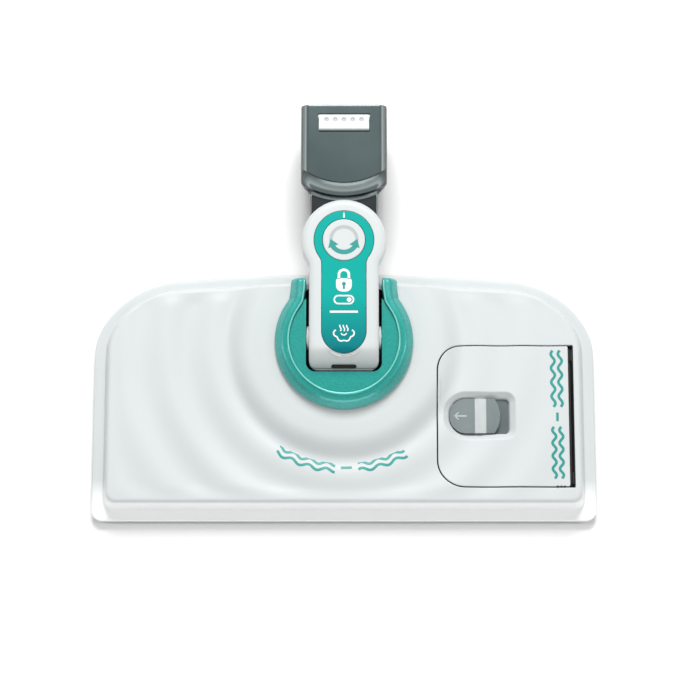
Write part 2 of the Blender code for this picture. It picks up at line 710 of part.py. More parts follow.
def neck_side(shrink):
    """The neck from the side: a barrel and nose at the tilt axis, then stem and head."""
    top = NECK_TOP - shrink
    nose_start = math.degrees(math.acos(-9.1 / NOSE_R))
    points = [(SWIVEL_Y + 40.0, top)]
    points += arc(AXIS_Y, AXIS_Z, NOSE_R - shrink, nose_start, 175.0, 7)
    turn = math.degrees(math.asin((STEM_UNDER - AXIS_Z) / BARREL_R))
    points += arc(AXIS_Y, AXIS_Z, BARREL_R - shrink, 192.0, 360.0 + turn, 12)
    points += [(35.5 + shrink, STEM_UNDER + shrink), (35.5 + shrink, HEAD_UNDER + shrink),
               (SWIVEL_Y + 40.0, HEAD_UNDER + shrink)]
    return points


def neck_solid(name, shrink, finish=None):
    half = NECK_HEAD_R + 5.0
    solid = prism(name, list(reversed(neck_side(shrink))), -half, half, "YZ", finish)
    plan = prism(f"{name}_plan", neck_outline(shrink), 0.0, 60.0)
    return keep_inside(solid, plan)


def boss(name, side, radius, inner, outer, finish=None):
    centre = side * (inner + outer) / 2
    return rod(name, radius, (centre, AXIS_Y, AXIS_Z), outer - inner, "X", finish, 24)


def make_neck():
    front = neck_solid("neck_front_cover", 0.0, "white_plastic")
    cut(front, neck_solid("neck_front_hollow", NECK_WALL))
    cut(front, box("front_split_rear", (-40, 40), (12.0, 90), (0, NECK_SPLIT_Z + GAP / 2)))
    cut(front, box("front_split_nose", (-40, 40), (-40, 12.5), (0, AXIS_Z + 3.15)))
    cut(front, rod("front_boss_room", 7.4, (0.0, AXIS_Y, AXIS_Z), 60.0, "X", sides=24))
    cut(front, box("park_notch", (-7.5, 7.5), (-22.0, -15.6), (35.6, 39.0)))
    label = label_outline(0.3)
    cut(front, prism("label_recess", label, NECK_TOP - 0.8, NECK_TOP + 5.0))
    cut(front, rod("cap_hole", 11.0, (0.0, SWIVEL_Y, NECK_TOP), 8.0, sides=32))
    for number, y in enumerate((19.0, 33.0), 1):
        stalk = rod(f"front_stalk_{number}", 2.8, (0.0, y, 42.4), 6.0, sides=16)
        cut(join(front, stalk), rod(f"front_bore_{number}", 1.4, (0.0, y, 41.0), 7.0, sides=12))

    rear = neck_solid("neck_rear_cover", 0.0, "white_plastic")
    cut(rear, neck_solid("neck_rear_hollow", NECK_WALL + 0.001))
    cut(rear, box("rear_split_rear", (-40, 40), (11.7, 90), (NECK_SPLIT_Z - GAP / 2, 60)))
    cut(rear, box("rear_split_nose", (-40, 40), (-40, 12.0), (AXIS_Z + 2.85, 60)))
    for number, side in enumerate((-1.0, 1.0), 1):
        join(rear, boss(f"rear_boss_{number}", side, 7.0, 15.2, 22.0))
        cut(rear, boss(f"bush_seat_{number}", side, 5.3, 15.0, 23.0))
    cut(rear, rod("spindle_hole", 5.6, (0.0, SWIVEL_Y, 39.0), 9.0, sides=24))
    for number, y in enumerate((19.0, 33.0), 1):
        cut(rear, rod(f"rear_screw_hole_{number}", 1.5, (0.0, y, 36.0), 9.0, sides=12))
        cut(rear, rod(f"rear_screw_well_{number}", 2.8, (0.0, y, 33.2), 4.0, sides=16))
        screw(f"neck_screw_{number}", (0.0, y, 34.9), 7.0, head_up=False)

    plate = prism("label_plate", label_outline(0.0), NECK_TOP - 0.5, NECK_TOP + 0.3,
                  finish="label_teal")
    cut(plate, rod("label_window", 12.75, (0.0, SWIVEL_Y, NECK_TOP), 9.0, sides=40))
    cap = turned("pivot_cap", [(0.0, NECK_TOP + 0.7), (11.6, NECK_TOP + 0.7), (12.45, NECK_TOP),
                               (12.45, NECK_TOP - 0.5), (10.5, NECK_TOP - 0.5),
                               (10.5, NECK_TOP - 1.6), (0.0, NECK_TOP - 1.6)],
                 (0.0, SWIVEL_Y, 0.0), finish="white_plastic", sides=40)
    pieces = [front, rear, plate, cap]
    for number, side in enumerate((-1.0, 1.0)):
        name = ("bush_left", "bush_right")[number]
        centre = (0.0, AXIS_Y, AXIS_Z)
        low, high = sorted((side * 15.6, side * 21.8))
        pieces.append(ring(name, 3.45, 5.0, low, high, centre, "X", "black_plastic", 20))
    pieces.append(seal("trunnion_seal", 4.1, 0.6, (-14.4, AXIS_Y, AXIS_Z), "X"))
    return pieces


def label_outline(extra):
    """The label in plan: round top, waist-free stem and a round lower end."""
    radius = 17.5 + extra
    half = 12.8 + extra
    meet = math.degrees(math.asin(half / radius))
    head = arc(0.0, SWIVEL_Y, radius, -90.0 + meet, 270.0 - meet, 24)
    foot = arc(0.0, 5.6, half, 180.0, 360.0, 12)
    return head + foot


def make_steam_line():
    spindle = turned("swivel_spindle",
                     [(0.0, 43.6), (8.4, 43.6), (8.4, 40.9), (5.0, 40.9), (5.0, 24.4), (2.2, 24.4),
                      (2.2, 42.0), (0.0, 42.0)], (0.0, SWIVEL_Y, 0.0), finish="brass", sides=24)
    port = rod("spindle_port", 1.0, (0.0, SWIVEL_Y - 5.0, 42.1), 12.0, "Y", sides=10)
    cut(spindle, port)
    clip = ring("spindle_clip", 5.3, 8.2, 29.0, 30.0, (0.0, SWIVEL_Y, 0.0), finish="steel")
    neck_hose = tube("neck_steam_tube",
                     ((0.0, 48.2, 42.4), (0.0, 44.0, 42.4), (-3.4, 38.4, 42.3), (-6.0, 31.0, 40.4),
                      (-6.8, 20.0, 38.2), (-7.0, 11.0, 34.4), (-8.4, 4.6, 30.4),
                      (-11.0, AXIS_Y, AXIS_Z), (-15.4, AXIS_Y, AXIS_Z)), 1.45, "clear_silicone",
                     steps=3)
    tube("base_steam_hose",
         ((-31.8, AXIS_Y, AXIS_Z), (-33.6, 1.0, 28.2), (-35.0, -2.5, 24.0), (-35.7, -12.0, 20.4),
          (-35.9, -25.0, 21.4), (-36.0, -31.4, 19.8), (-36.0, -32.0, 16.4)), 1.7,
         "clear_silicone", steps=3)
    return spindle, clip, neck_hose


# ---------------------------------------------------------------- socket

def socket_block(name, finish=None):
    """The socket's outer form, common to its three outlines from above, side and end."""
    scoop = arc(83.0, ARM_TOP + 7.9, 7.9, 270.0, 358.0, 6)
    side = [(36.4, ARM_TOP)] + scoop + [(PANEL_FRONT, SOCKET_TOP), (SOCKET_REAR, SOCKET_TOP),
                                        (SOCKET_REAR, SOCKET_BOTTOM), (SOCKET_FRONT, SOCKET_BOTTOM),
                                        (77.0, 19.0), (77.0, ARM_BOTTOM), (36.4, ARM_BOTTOM)]
    block = prism(name, list(reversed(side)), -30.0, 30.0, "YZ", finish)
    arm = ARM_HALF_WIDTH
    wide = SOCKET_HALF_WIDTH
    plan = arc(0.0, SWIVEL_Y, arm, 180.0, 360.0, 20)
    plan += [(arm, 87.0), (wide, SOCKET_FRONT), (wide, 150.0), (-wide, 150.0),
             (-wide, SOCKET_FRONT), (-arm, 87.0)]
    ends = rounded((-wide, wide), (SOCKET_BOTTOM, SOCKET_TOP), (8, 8, 8, 8), 5)
    return keep_inside(block, prism(f"{name}_plan", plan, 0.0, 60.0),
                       prism(f"{name}_end", ends, 30.0, 150.0, "XZ"))


def socket_mouth():
    wide = SOCKET_HALF_WIDTH - SOCKET_WALL
    low, high = SOCKET_BOTTOM + SOCKET_WALL, SOCKET_TOP - SOCKET_WALL
    ends = rounded((-wide, wide), (low, high), (5.4, 5.4, 5.4, 5.4), 4)
    return prism("socket_mouth", ends, 97.0, 150.0, "XZ")


def make_socket():
    mouth = socket_mouth()
    duct = box("socket_duct", (-14.0, 14.0), (80.0, 98.0), (21.6, ARM_TOP - 2.8))
    entry = rod("nipple_entry", 4.4, (0.0, 79.0, 25.4), 9.0, "Y", sides=20)
    front = socket_block("socket_front_shell", "grey_plastic")
    cut(front, box("front_lower_half", (-40, 40), (70, 160), (0, SOCKET_SPLIT_Z + GAP / 2)))
    cut(front, mouth, duct)
    cut(front, rod("bush_hole", 7.8, (0.0, SWIVEL_Y, 36.0), 9.0, sides=24))
    window = box("button_window", (-BUTTON_HALF_WIDTH - 0.35, BUTTON_HALF_WIDTH + 0.35),
                 (BUTTON_FRONT - 0.8, BUTTON_REAR + 0.35), (40.0, 60.0))
    cut(front, window)
    for number, side in enumerate((-1.0, 1.0), 1):
        x = sorted((side * 15.8, side * 18.4))
        lug = box(f"button_lug_{number}", x, (130.0, 135.0), (41.2, 44.4))
        join(front, lug)
    cut(front, rod("button_pin_bore", 1.1, (0.0, 132.3, 43.4), 36.0, "X", sides=16))

    rear = socket_block("socket_rear_shell", "grey_plastic")
    cut(rear, box("rear_upper_half", (-40, 40), (30, 160), (SOCKET_SPLIT_Z - GAP / 2, 60)))
    cut(rear, mouth, duct, entry)
    pieces = [front, rear]
    for number, side in enumerate((-1.0, 1.0), 1):
        spot = (side * 17.6, 90.0)
        cut(rear, rod(f"socket_well_{number}", 2.8, (*spot, 16.5), 12.8, sides=16))
        cut(rear, rod(f"socket_hole_{number}", 1.5, (*spot, 26.0), 14.0, sides=12))
        cut(front, rod(f"socket_bore_{number}", 1.4, (*spot, 30.0), 8.4, sides=12))
        pieces.append(screw(f"socket_screw_{number}", (*spot, 22.6), 10.6, head_up=False))
    centre = (0.0, SWIVEL_Y, 0.0)
    bush = turned("swivel_bush", [(5.3, ARM_TOP - 0.1), (7.5, ARM_TOP - 0.1), (7.5, 33.1),
                                  (9.6, 33.1), (9.6, 32.1), (5.3, 32.1)], centre,
                  finish="black_plastic", sides=24, closed=True)
    washer = turned("wave_washer", [(5.3, 31.3), (7.0, 31.7), (8.8, 31.3), (8.8, 30.7),
                                    (7.0, 31.1), (5.3, 30.7)], centre, finish="steel", sides=24,
                    closed=True)
    pieces += [bush, washer]
    return pieces


def make_nipple():
    """The steam pipe: a cup under the spindle, then a pipe into the socket's mouth."""
    profile = [(0.0, 22.2), (6.8, 22.2), (6.8, 28.2), (8.2, 28.2), (8.2, 20.0), (0.0, 20.0)]
    nipple = turned("steam_nipple", profile, (0.0, SWIVEL_Y, 0.0), finish="black_plastic", sides=24)
    pipe = tube("nipple_pipe", ((0.0, 64.4, 23.0), (0.0, 71.0, 23.6), (0.0, 80.0, 25.6),
                                (0.0, 92.0, 29.4), (0.0, 102.0, 30.4), (0.0, 110.0, 30.4),
                                (0.0, 122.0, 30.4)), 3.4, steps=3)
    bore = rod("nipple_bore", 1.9, (0.0, 116.0, 30.4), 24.0, "Y", sides=16)
    cut(join(nipple, pipe), bore)
    return nipple, seal("nipple_seal", 5.95, 0.6, (0.0, SWIVEL_Y, 26.6), "Z")


def make_button():
    side = [(BUTTON_FRONT, 41.4), (BUTTON_FRONT, 47.7), (BUTTON_FRONT + 1.0, 48.0),
            (BUTTON_REAR, 46.2), (BUTTON_REAR, 42.2), (131.0, 41.4)]
    button = prism("release_button", list(reversed(side)), -BUTTON_HALF_WIDTH,
                   BUTTON_HALF_WIDTH, "YZ", "white_plastic")
    cut(button, rod("button_bore", 1.1, (0.0, 132.3, 43.4), 40.0, "X", sides=16))
    hook = box("button_hook", (-5.0, 5.0), (BUTTON_FRONT + 0.3, 127.0), (38.6, 42.0))
    join(button, hook)
    pin = rod("button_pin", 0.8, (0.0, 132.3, 43.4), 35.6, "X", "steel", 12)
    leaf = [(112.0, 42.6), (118.0, 42.6), (122.6, 40.5), (128.4, 40.3), (128.4, 40.9),
            (122.9, 41.1), (118.2, 43.2), (112.0, 43.2)]
    spring = prism("button_spring", leaf, 7.0, 12.0, "YZ", "steel")
    return button, pin, spring


# ---------------------------------------------------------------- assembly

make_materials()
make_sole()
for index, (screw_x, screw_y) in enumerate(SCREW_PLACES, 1):
    screw(f"sole_screw_{index}", (screw_x, screw_y, 1.9), 8.0, head_up=False)
for index, (screw_x, screw_y) in enumerate(CRADLE_SCREW_PLACES, 1):
    screw(f"cradle_screw_{index}", (screw_x, screw_y, 1.9), 5.0, head_up=False)
make_manifold()
make_upper_shell()
make_compartment()
make_yoke()
make_cradle()
make_tilt_pivots()

door_panel = make_door()
latch_pieces = make_latch()
neck_pieces = make_neck()
steam_pieces = make_steam_line()
socket_pieces = make_socket()
nipple_pieces = make_nipple()
button_pieces = make_button()

pivot("neck_tilt_axis", (0.0, AXIS_Y, AXIS_Z), [*neck_pieces, *steam_pieces])
pivot("socket_swivel_axis", (0.0, SWIVEL_Y, 0.0), [*socket_pieces, *nipple_pieces])
pivot("door_axis", (DOOR_AXIS_X, 0.0, DOOR_AXIS_Z), [door_panel, *latch_pieces])
pivot("button_axis", (0.0, 132.3, 43.4), button_pieces)
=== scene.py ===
"""A steam mop's floor head, with its tilting neck, swivelling socket and perfume door.

Sizes are in millimetres, in the frame of the CAD model: +X is the head's right, +Y
its rear and +Z up, with the origin on the floor below the middle of the yoke.
"""

import math

import bpy
import numpy as np
from mathutils.geometry import delaunay_2d_cdt
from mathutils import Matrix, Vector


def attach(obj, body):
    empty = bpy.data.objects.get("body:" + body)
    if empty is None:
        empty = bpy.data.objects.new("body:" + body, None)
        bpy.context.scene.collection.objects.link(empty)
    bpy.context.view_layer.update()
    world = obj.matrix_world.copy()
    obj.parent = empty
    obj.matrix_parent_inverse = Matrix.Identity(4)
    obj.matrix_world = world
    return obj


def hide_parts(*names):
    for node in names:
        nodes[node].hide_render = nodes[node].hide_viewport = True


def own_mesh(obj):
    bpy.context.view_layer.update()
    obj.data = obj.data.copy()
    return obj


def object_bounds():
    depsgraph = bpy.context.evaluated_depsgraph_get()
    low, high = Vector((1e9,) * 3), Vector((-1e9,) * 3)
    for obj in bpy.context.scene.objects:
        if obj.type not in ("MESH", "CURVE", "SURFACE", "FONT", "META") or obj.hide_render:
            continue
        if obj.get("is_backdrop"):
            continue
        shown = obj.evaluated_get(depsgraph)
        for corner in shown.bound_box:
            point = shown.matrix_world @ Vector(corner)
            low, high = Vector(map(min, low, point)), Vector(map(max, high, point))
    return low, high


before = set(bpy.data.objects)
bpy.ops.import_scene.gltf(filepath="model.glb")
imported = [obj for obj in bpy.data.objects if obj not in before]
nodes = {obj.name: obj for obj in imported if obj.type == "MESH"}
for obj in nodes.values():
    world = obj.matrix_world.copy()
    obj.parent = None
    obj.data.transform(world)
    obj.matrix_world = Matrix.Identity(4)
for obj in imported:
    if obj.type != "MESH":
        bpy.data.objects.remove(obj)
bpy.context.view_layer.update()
MM = 0.001


# ---------------------------------------------------------------- upper shell
# The upper shell is one thin white ABS moulding: a flat flange all round, a steep step, and a
# rippled top that swells into a bell round the yoke. It is screwed to the sole from below.

def linear(hex_code):
    """An sRGB hex colour as linear red, green, blue and alpha."""
    shares = [int(hex_code[i:i + 2], 16) / 255.0 for i in (1, 3, 5)]
    return (*[s / 12.92 if s <= 0.04045 else ((s + 0.055) / 1.055) ** 2.4 for s in shares], 1.0)


def add(tree, kind, settings, links):
    """Add a shader node with its settings and the outputs that feed it."""
    node = tree.nodes.new(kind)
    for key, value in settings.items():
        if isinstance(key, str) and hasattr(node, key):
            setattr(node, key, value)
        else:
            node.inputs[key].default_value = value
    for key, source in links.items():
        tree.links.new(source, node.inputs[key])
    return node


def new_material(name):
    """An empty material, its node tree, its Principled shader and its coordinates."""
    made = bpy.data.materials.new(name)
    made.use_nodes = True
    tree = made.node_tree
    return made, tree, tree.nodes["Principled BSDF"], add(tree, "ShaderNodeTexCoord", {}, {})


def noise(tree, place, scale, detail):
    """Even noise, laid out in the object's own space."""
    settings = {"Scale": scale, "Detail": detail}
    return add(tree, "ShaderNodeTexNoise", settings, {"Vector": place.outputs["Object"]})


def mix(tree, dark, light, share_):
    """A colour that runs from one hex colour to another."""
    settings = {"data_type": "RGBA", 6: linear(dark), 7: linear(light)}
    return add(tree, "ShaderNodeMix", settings, {0: share_})


def spread(tree, source, side, low, high):
    """A value mapped from, or to, the range between low and high."""
    return add(tree, "ShaderNodeMapRange", {side + " Min": low, side + " Max": high}, {"Value": source})


def roughen(tree, height, strength, distance):
    """A bump of a depth in metres."""
    return add(tree, "ShaderNodeBump", {"Strength": strength, "Distance": distance}, {"Height": height})


def wire(tree, shader, tone, gloss=None, bump=None, values=()):
    """Feed a shader its colour, roughness and bump, and set its other inputs."""
    tree.links.new(tone.outputs[2], shader.inputs["Base Color"])
    if gloss:
        tree.links.new(gloss.outputs["Result"], shader.inputs["Roughness"])
    if bump:
        tree.links.new(bump.outputs["Normal"], shader.inputs["Normal"])
    for key, value in dict(values).items():
        shader.inputs[key].default_value = value


def line(start, end, count):
    """Even points from start up to, but not on, the end."""
    return [(start[0] + (end[0] - start[0]) * i / count, start[1] + (end[1] - start[1]) * i / count)
            for i in range(count)]


def arc(x, y, radius, start, end, count):
    """Points along an arc up to, but not on, its end; angles in degrees."""
    turns = [math.radians(start + (end - start) * i / count) for i in range(count)]
    return [(x + radius * math.cos(a), y + radius * math.sin(a)) for a in turns]


def share(value, low, high):
    """How far value lies from low to high, eased at both ends."""
    t = min(max((value - low) / (high - low), 0.0), 1.0)
    return t * t * (3.0 - 2.0 * t)


def bow(x, y):
    """How far the rear edge curves forwards towards its ends."""
    return 0.00045 * x * x * min(max((y + 4.0) / 50.0, 0.0), 1.0)


def relief(x, y):
    """Height of the head's top: the bell round the yoke, and round ripples that spread from it."""
    radius = math.hypot(x, y)
    height = 28.4 - 2.0 * min(radius / 56.5, 1.0) ** 2 - 6.9 * share(radius, 56.0, 72.0)
    height -= 0.22 * math.exp(-((radius - 45.5) / 2.2) ** 2)
    towards_front_left = 0.5 + 0.5 * math.cos(math.atan2(y, x) - math.radians(228.0))
    edge = min(150.0 - abs(x), y + 104.5, 46.0 - y - bow(x, y))
    swell = share(radius, 62.0, 74.0) * share(edge, 12.0, 20.0) * (0.35 + 0.65 * towards_front_left)
    swell *= 1.15 - 0.55 * share(radius, 95.0, 150.0)
    return height + 1.1 * swell * math.cos(math.tau * (radius - 79.0) / 28.0)


def head_loop(inset):
    """The head's outline from above, moved in; the front corners are tight and the rear ones wide."""
    wide, front, rear = 150.0 - inset, inset - 104.5, 46.0 - inset
    tight, round_ = 6.5 - 0.1 * inset, 50.0 - inset
    side = rear - round_
    points = line((tight - wide, front), (wide - tight, front), 110)
    points += arc(wide - tight, front + tight, tight, 270.0, 360.0, 10)
    points += line((wide, front + tight), (wide, side), 40)
    points += arc(wide - round_, side, round_, 0.0, 90.0, 26)
    points += line((wide - round_, rear), (round_ - wide, rear), 84)
    points += arc(round_ - wide, side, round_, 90.0, 180.0, 26)
    points += line((-wide, side), (-wide, front + tight), 40)
    points += arc(tight - wide, front + tight, tight, 180.0, 270.0, 10)
    return [(x, y - bow(x, y)) for x, y in points]


def rounded_loop(x, y, radii, grow, corner=14, across=32, along=32):
    """A rectangle with four corner radii, from the front left one on, grown by an amount."""
    x0, x1, y0, y1 = x[0] - grow, x[1] + grow, y[0] - grow, y[1] + grow
    fl, fr, rr, rl = [max(radius + grow, 0.05) for radius in radii]
    points = arc(x0 + fl, y0 + fl, fl, 180.0, 270.0, corner) + line((x0 + fl, y0), (x1 - fr, y0), across)
    points += arc(x1 - fr, y0 + fr, fr, 270.0, 360.0, corner) + line((x1, y0 + fr), (x1, y1 - rr), along)
    points += arc(x1 - rr, y1 - rr, rr, 0.0, 90.0, corner) + line((x1 - rr, y1), (x0 + rl, y1), across)
    points += arc(x0 + rl, y1 - rl, rl, 90.0, 180.0, corner) + line((x0, y1 - rl), (x0, y0 + fl), along)
    return points


def inside(spots, loop):
    """Which of the spots lie inside a closed loop."""
    x, y = np.array(spots, dtype=float).reshape(-1, 2).T
    within = np.zeros(len(x), dtype=bool)
    for (ax, ay), (bx, by) in zip(loop, loop[1:] + loop[:1]):
        if ay != by:
            crosses = (ay > y) != (by > y)
            within ^= crosses & (x < (bx - ax) * (y - ay) / (by - ay) + ax)
    return within


def chosen(spots, flags):
    """The spots whose flags are set."""
    return [spot for spot, flag in zip(spots, flags) if flag]


def from_faces(name, points, faces):
    """An object from its points, in millimetres, and its faces."""
    mesh = bpy.data.meshes.new(name)
    mesh.from_pydata([(x * MM, y * MM, z * MM) for x, y, z in points], [], faces)
    obj = bpy.data.objects.new(name, mesh)
    bpy.context.scene.collection.objects.link(obj)
    return obj


def skin(name, edge, holes, spots, height):
    """A moulded surface: bands of faces down its edges, and triangles that fill what is between.

    edge is a list of loops of points from the outermost in, and each of holes is a list of loops
    from the widest in; spots are the places of the points between them.
    """
    points, faces, borders = [], [], []
    for rows, border in [(edge, -1)] + [(rows, 0) for rows in holes]:
        starts = []
        for row in rows:
            starts.append(len(points))
            points.extend(row)
        count = len(rows[0])
        for a, b in zip(starts, starts[1:]):
            for i in range(count):
                j = (i + 1) % count
                faces.append((a + i, a + j, b + j, b + i))
        borders.append([starts[border] + i for i in range(count)])
    loops = [[points[i][:2] for i in border] for border in borders]
    flags = inside(spots, loops[0])
    for loop in loops[1:]:
        flags &= ~inside(spots, loop)
    kept = chosen(spots, flags)
    flat = [place for loop in loops for place in loop] + kept
    index = [i for border in borders for i in border]
    index += [len(points) + i for i in range(len(kept))]
    points.extend((x, y, height(x, y)) for x, y in kept)
    fixed, start = [], 0
    for loop in loops:
        fixed += [(start + i, start + (i + 1) % len(loop)) for i in range(len(loop))]
        start += len(loop)
    placed, _, triangles, origin, _, _ = delaunay_2d_cdt(flat, fixed, [], 0, 1e-6)
    centres = [tuple(sum(placed[i][k] for i in t) / 3.0 for k in (0, 1)) for t in triangles]
    flags = inside(centres, loops[0])
    for loop in loops[1:]:
        flags &= ~inside(centres, loop)
    for triangle, flag in zip(triangles, flags):
        if flag:
            a, b, c = [placed[i] for i in triangle]
            turn = (b[0] - a[0]) * (c[1] - a[1]) - (b[1] - a[1]) * (c[0] - a[0])
            corners = [index[origin[i][0]] for i in triangle]
            faces.append(corners if turn > 0 else corners[::-1])
    return from_faces(name, points, faces)


def only(obj):
    """Select one object and make it the active one."""
    bpy.ops.object.select_all(action="DESELECT")
    obj.select_set(True)
    bpy.context.view_layer.objects.active = obj


def apply(obj, kind, **settings):
    """Give an object a modifier and apply it."""
    only(obj)
    modifier = obj.modifiers.new(kind.lower(), kind)
    for key, value in settings.items():
        setattr(modifier, key, value)
    bpy.ops.object.modifier_apply(modifier=modifier.name)
    return obj


def combine(obj, other, operation):
    """Cut, join or intersect with another object, which is used up."""
    apply(obj, "BOOLEAN", object=other, operation=operation, solver="EXACT")
    bpy.data.objects.remove(other, do_unlink=True)
    return obj


def smooth(obj, angle=35.0):
    """Shade smooth, with the edges sharper than the angle left crisp."""
    only(obj)
    bpy.ops.object.shade_smooth_by_angle(angle=math.radians(angle))
    return apply(obj, "WEIGHTED_NORMAL", keep_sharp=True, weight=80)


def dress(obj, finish, body, slot, *replaced):
    """Give a piece its finish, its body and the CAD nodes that it stands for; slot is not used."""
    obj.data.materials.clear()
    obj.data.materials.append(finish)
    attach(obj, body)
    if replaced:
        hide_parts(*replaced)
    return obj


def polar_spots(first, last, apart):
    """Points on even rings round the yoke, which follow its round ripples."""
    spots, radius, number = [], first, 0
    while radius < last:
        count = max(8, round(math.tau * radius / (apart * 1.15)))
        turns = [math.tau * (i + 0.5 * (number % 2)) / count for i in range(count)]
        spots += [(radius * math.cos(a), radius * math.sin(a)) for a in turns]
        radius += apart
        number += 1
    return spots


# Each row of the rim: how far in it lies, then its height or its share of the step's rise.
RIM = ((0.5, 3.0, None), (0.5, 3.5, None), (0.3, 3.7, None), (0.3, 5.1, None), (0.38, 5.45, None),
       (0.6, 5.75, None), (0.9, 5.95, None), (1.3, 6.05, None), (2.6, 6.2, None), (4.4, 6.15, None),
       (5.9, 6.02, None), (6.7, 6.1, None),
       (7.15, None, 0.03), (7.5, None, 0.09), (7.8, None, 0.18), (8.3, None, 0.36), (8.8, None, 0.54),
       (9.3, None, 0.71), (9.7, None, 0.83), (10.1, None, 0.91), (10.6, None, 0.96),
       (11.2, None, 0.985), (11.8, None, 1.0), (12.3, None, 1.0))
FLANGE_Z = 6.05
OPENING = ((54.75, 136.1), (-85.9, -0.75), (16.5, 0.6, 0.6, 16.5))

rim = []
for inset, fixed_height, rise in RIM:
    row = []
    for x, y in head_loop(inset):
        top = fixed_height if rise is None else FLANGE_Z + rise * (relief(x, y) - FLANGE_Z)
        row.append((x, y, top))
    rim.append(row)
lip = []
for grow, drop in ((0.75, 0.0), (0.45, 0.02), (0.2, 0.09), (0.05, 0.26), (0.0, 0.5), (0.0, 2.6),
                   (0.0, 4.6)):
    lip.append([(x, y, relief(x, y) - drop) for x, y in rounded_loop(*OPENING, grow)])
margin = rounded_loop(*OPENING, 1.9)
spots = polar_spots(4.0, 184.0, 2.0)
clear = inside(spots, head_loop(13.4)) & ~inside(spots, margin)
shell = skin("shell", rim, [lip], chosen(spots, clear), relief)
apply(shell, "SOLIDIFY", thickness=1.9 * MM, offset=-1.0, use_even_offset=True)
bpy.ops.mesh.primitive_cylinder_add(vertices=96, radius=38.2 * MM, depth=20 * MM, location=(0, 0, 30 * MM))
combine(shell, bpy.context.object, "DIFFERENCE")
smooth(shell, 32.0)


def white_abs_material():
    """Injection-moulded white ABS: a clean soft gloss over a very fine moulded grain."""
    made, tree, shader, place = new_material("white_moulded_abs")
    # Slow drift of tone over about 60 mm, as in a large moulding.
    drift = noise(tree, place, 16.0, 2.0)
    top = mix(tree, "#CACFCF", "#D1D6D6", drift.outputs["Fac"])
    # Along the front, the low step and flange are painted brighter than the top. This painted light lifts
    # the shade that the step casts on the flange.
    parts = add(tree, "ShaderNodeSeparateXYZ", {}, {"Vector": place.outputs["Object"]})
    low = spread(tree, parts.outputs["Z"], "From", 0.0190, 0.0165)
    ahead = spread(tree, parts.outputs["Y"], "From", -0.080, -0.095)
    painted_front_light = add(tree, "ShaderNodeMath", {"operation": "MULTIPLY"},
                 {0: low.outputs["Result"], 1: ahead.outputs["Result"]})
    tone = add(tree, "ShaderNodeMix", {"data_type": "RGBA", 7: linear("#FCFDFD")},
               {0: painted_front_light.outputs["Value"], 6: top.outputs[2]})
    # Moulded grain of about 0.5 mm, and a gloss that varies over about 8 mm.
    grain = noise(tree, place, 2000.0, 2.0)
    sheen = noise(tree, place, 125.0, 3.0)
    gloss = spread(tree, sheen.outputs["Fac"], "To", 0.4, 0.48)
    bump = roughen(tree, grain.outputs["Fac"], 0.12, 0.00003)
    wire(tree, shader, tone, gloss=gloss, bump=bump, values={"IOR": 1.5, "Specular IOR Level": 0.4})
    return made


white_abs = white_abs_material()
dress(shell, white_abs, "base", "white_abs", "upper_shell")


# ---------------------------------------------------------------- perfume door
# The door over the perfume compartment is moulded to carry the shell's ripples on. A soft-edged
# pocket in it holds the latch, and a black hinge bar along its right edge turns on a steel pin.

DOOR = ((55.5, 133.0), (-85.15, -1.4), (15.8, 1.0, 1.0, 15.8))
POCKET = ((62.3, 98.0), (-53.7, -32.5), (9.6, 2.8, 2.8, 9.6))
POCKET_FLOOR = 14.05

def unselect(obj):
    """Make an object active, with nothing selected in it."""
    only(obj)
    bpy.ops.object.mode_set(mode="EDIT")
    bpy.ops.mesh.select_all(action="DESELECT")
    bpy.ops.object.mode_set(mode="OBJECT")


door_edge = []
for grow, drop in ((0.0, 2.7), (0.0, 0.5), (-0.04, 0.26), (-0.18, 0.08), (-0.45, 0.0), (-0.9, 0.0)):
    door_edge.append([(x, y, relief(x, y) - drop) for x, y in rounded_loop(*DOOR, grow)])
pocket_rows = []
for grow, drop in ((4.2, 0.0), (3.9, 0.03), (3.6, 0.16), (3.2, 0.5), (2.6, 1.15), (1.9, 1.9), (1.2, 2.6),
                   (0.6, 3.2), (0.2, 3.7), (0.0, 4.3)):
    loop = rounded_loop(*POCKET, grow, across=20, along=12)
    pocket_rows.append([(x, y, relief(x, y) - drop) for x, y in loop])
for low, grow in ((POCKET_FLOOR + 0.5, 0.0), (POCKET_FLOOR + 0.1, -0.15), (POCKET_FLOOR, -0.6)):
    loop = rounded_loop(*POCKET, grow, across=20, along=12)
    pocket_rows.append([(x, y, low) for x, y in loop])
spots = polar_spots(40.0, 170.0, 1.7)
clear = inside(spots, rounded_loop(*DOOR, -1.6)) & ~inside(spots, rounded_loop(*POCKET, 5.0))
door = skin("door", door_edge, [pocket_rows], chosen(spots, clear), relief)
unselect(door)
for edge_ in door.data.edges:
    ends = [door.data.vertices[i].co.z for i in edge_.vertices]
    edge_.select = max(ends) < (POCKET_FLOOR + 0.01) * MM
bpy.ops.object.mode_set(mode="EDIT")
bpy.ops.mesh.edge_face_add()
bpy.ops.object.mode_set(mode="OBJECT")
apply(door, "SOLIDIFY", thickness=1.6 * MM, offset=-1.0, use_even_offset=True)
smooth(door, 32.0)
dress(door, white_abs, "door", "white_abs", "perfume_door")


def black_plastic_material():
    """Black moulded polypropylene: dull, with a spark-eroded grain of about 0.4 mm."""
    made, tree, shader, place = new_material("black_moulded_polypropylene")
    grain = noise(tree, place, 2500.0, 3.0)
    tone = mix(tree, "#0C0C0E", "#19191C", grain.outputs["Fac"])
    bump = roughen(tree, grain.outputs["Fac"], 0.35, 0.00005)
    wire(tree, shader, tone, bump=bump, values={"Roughness": 0.5})
    return made


black_plastic = black_plastic_material()


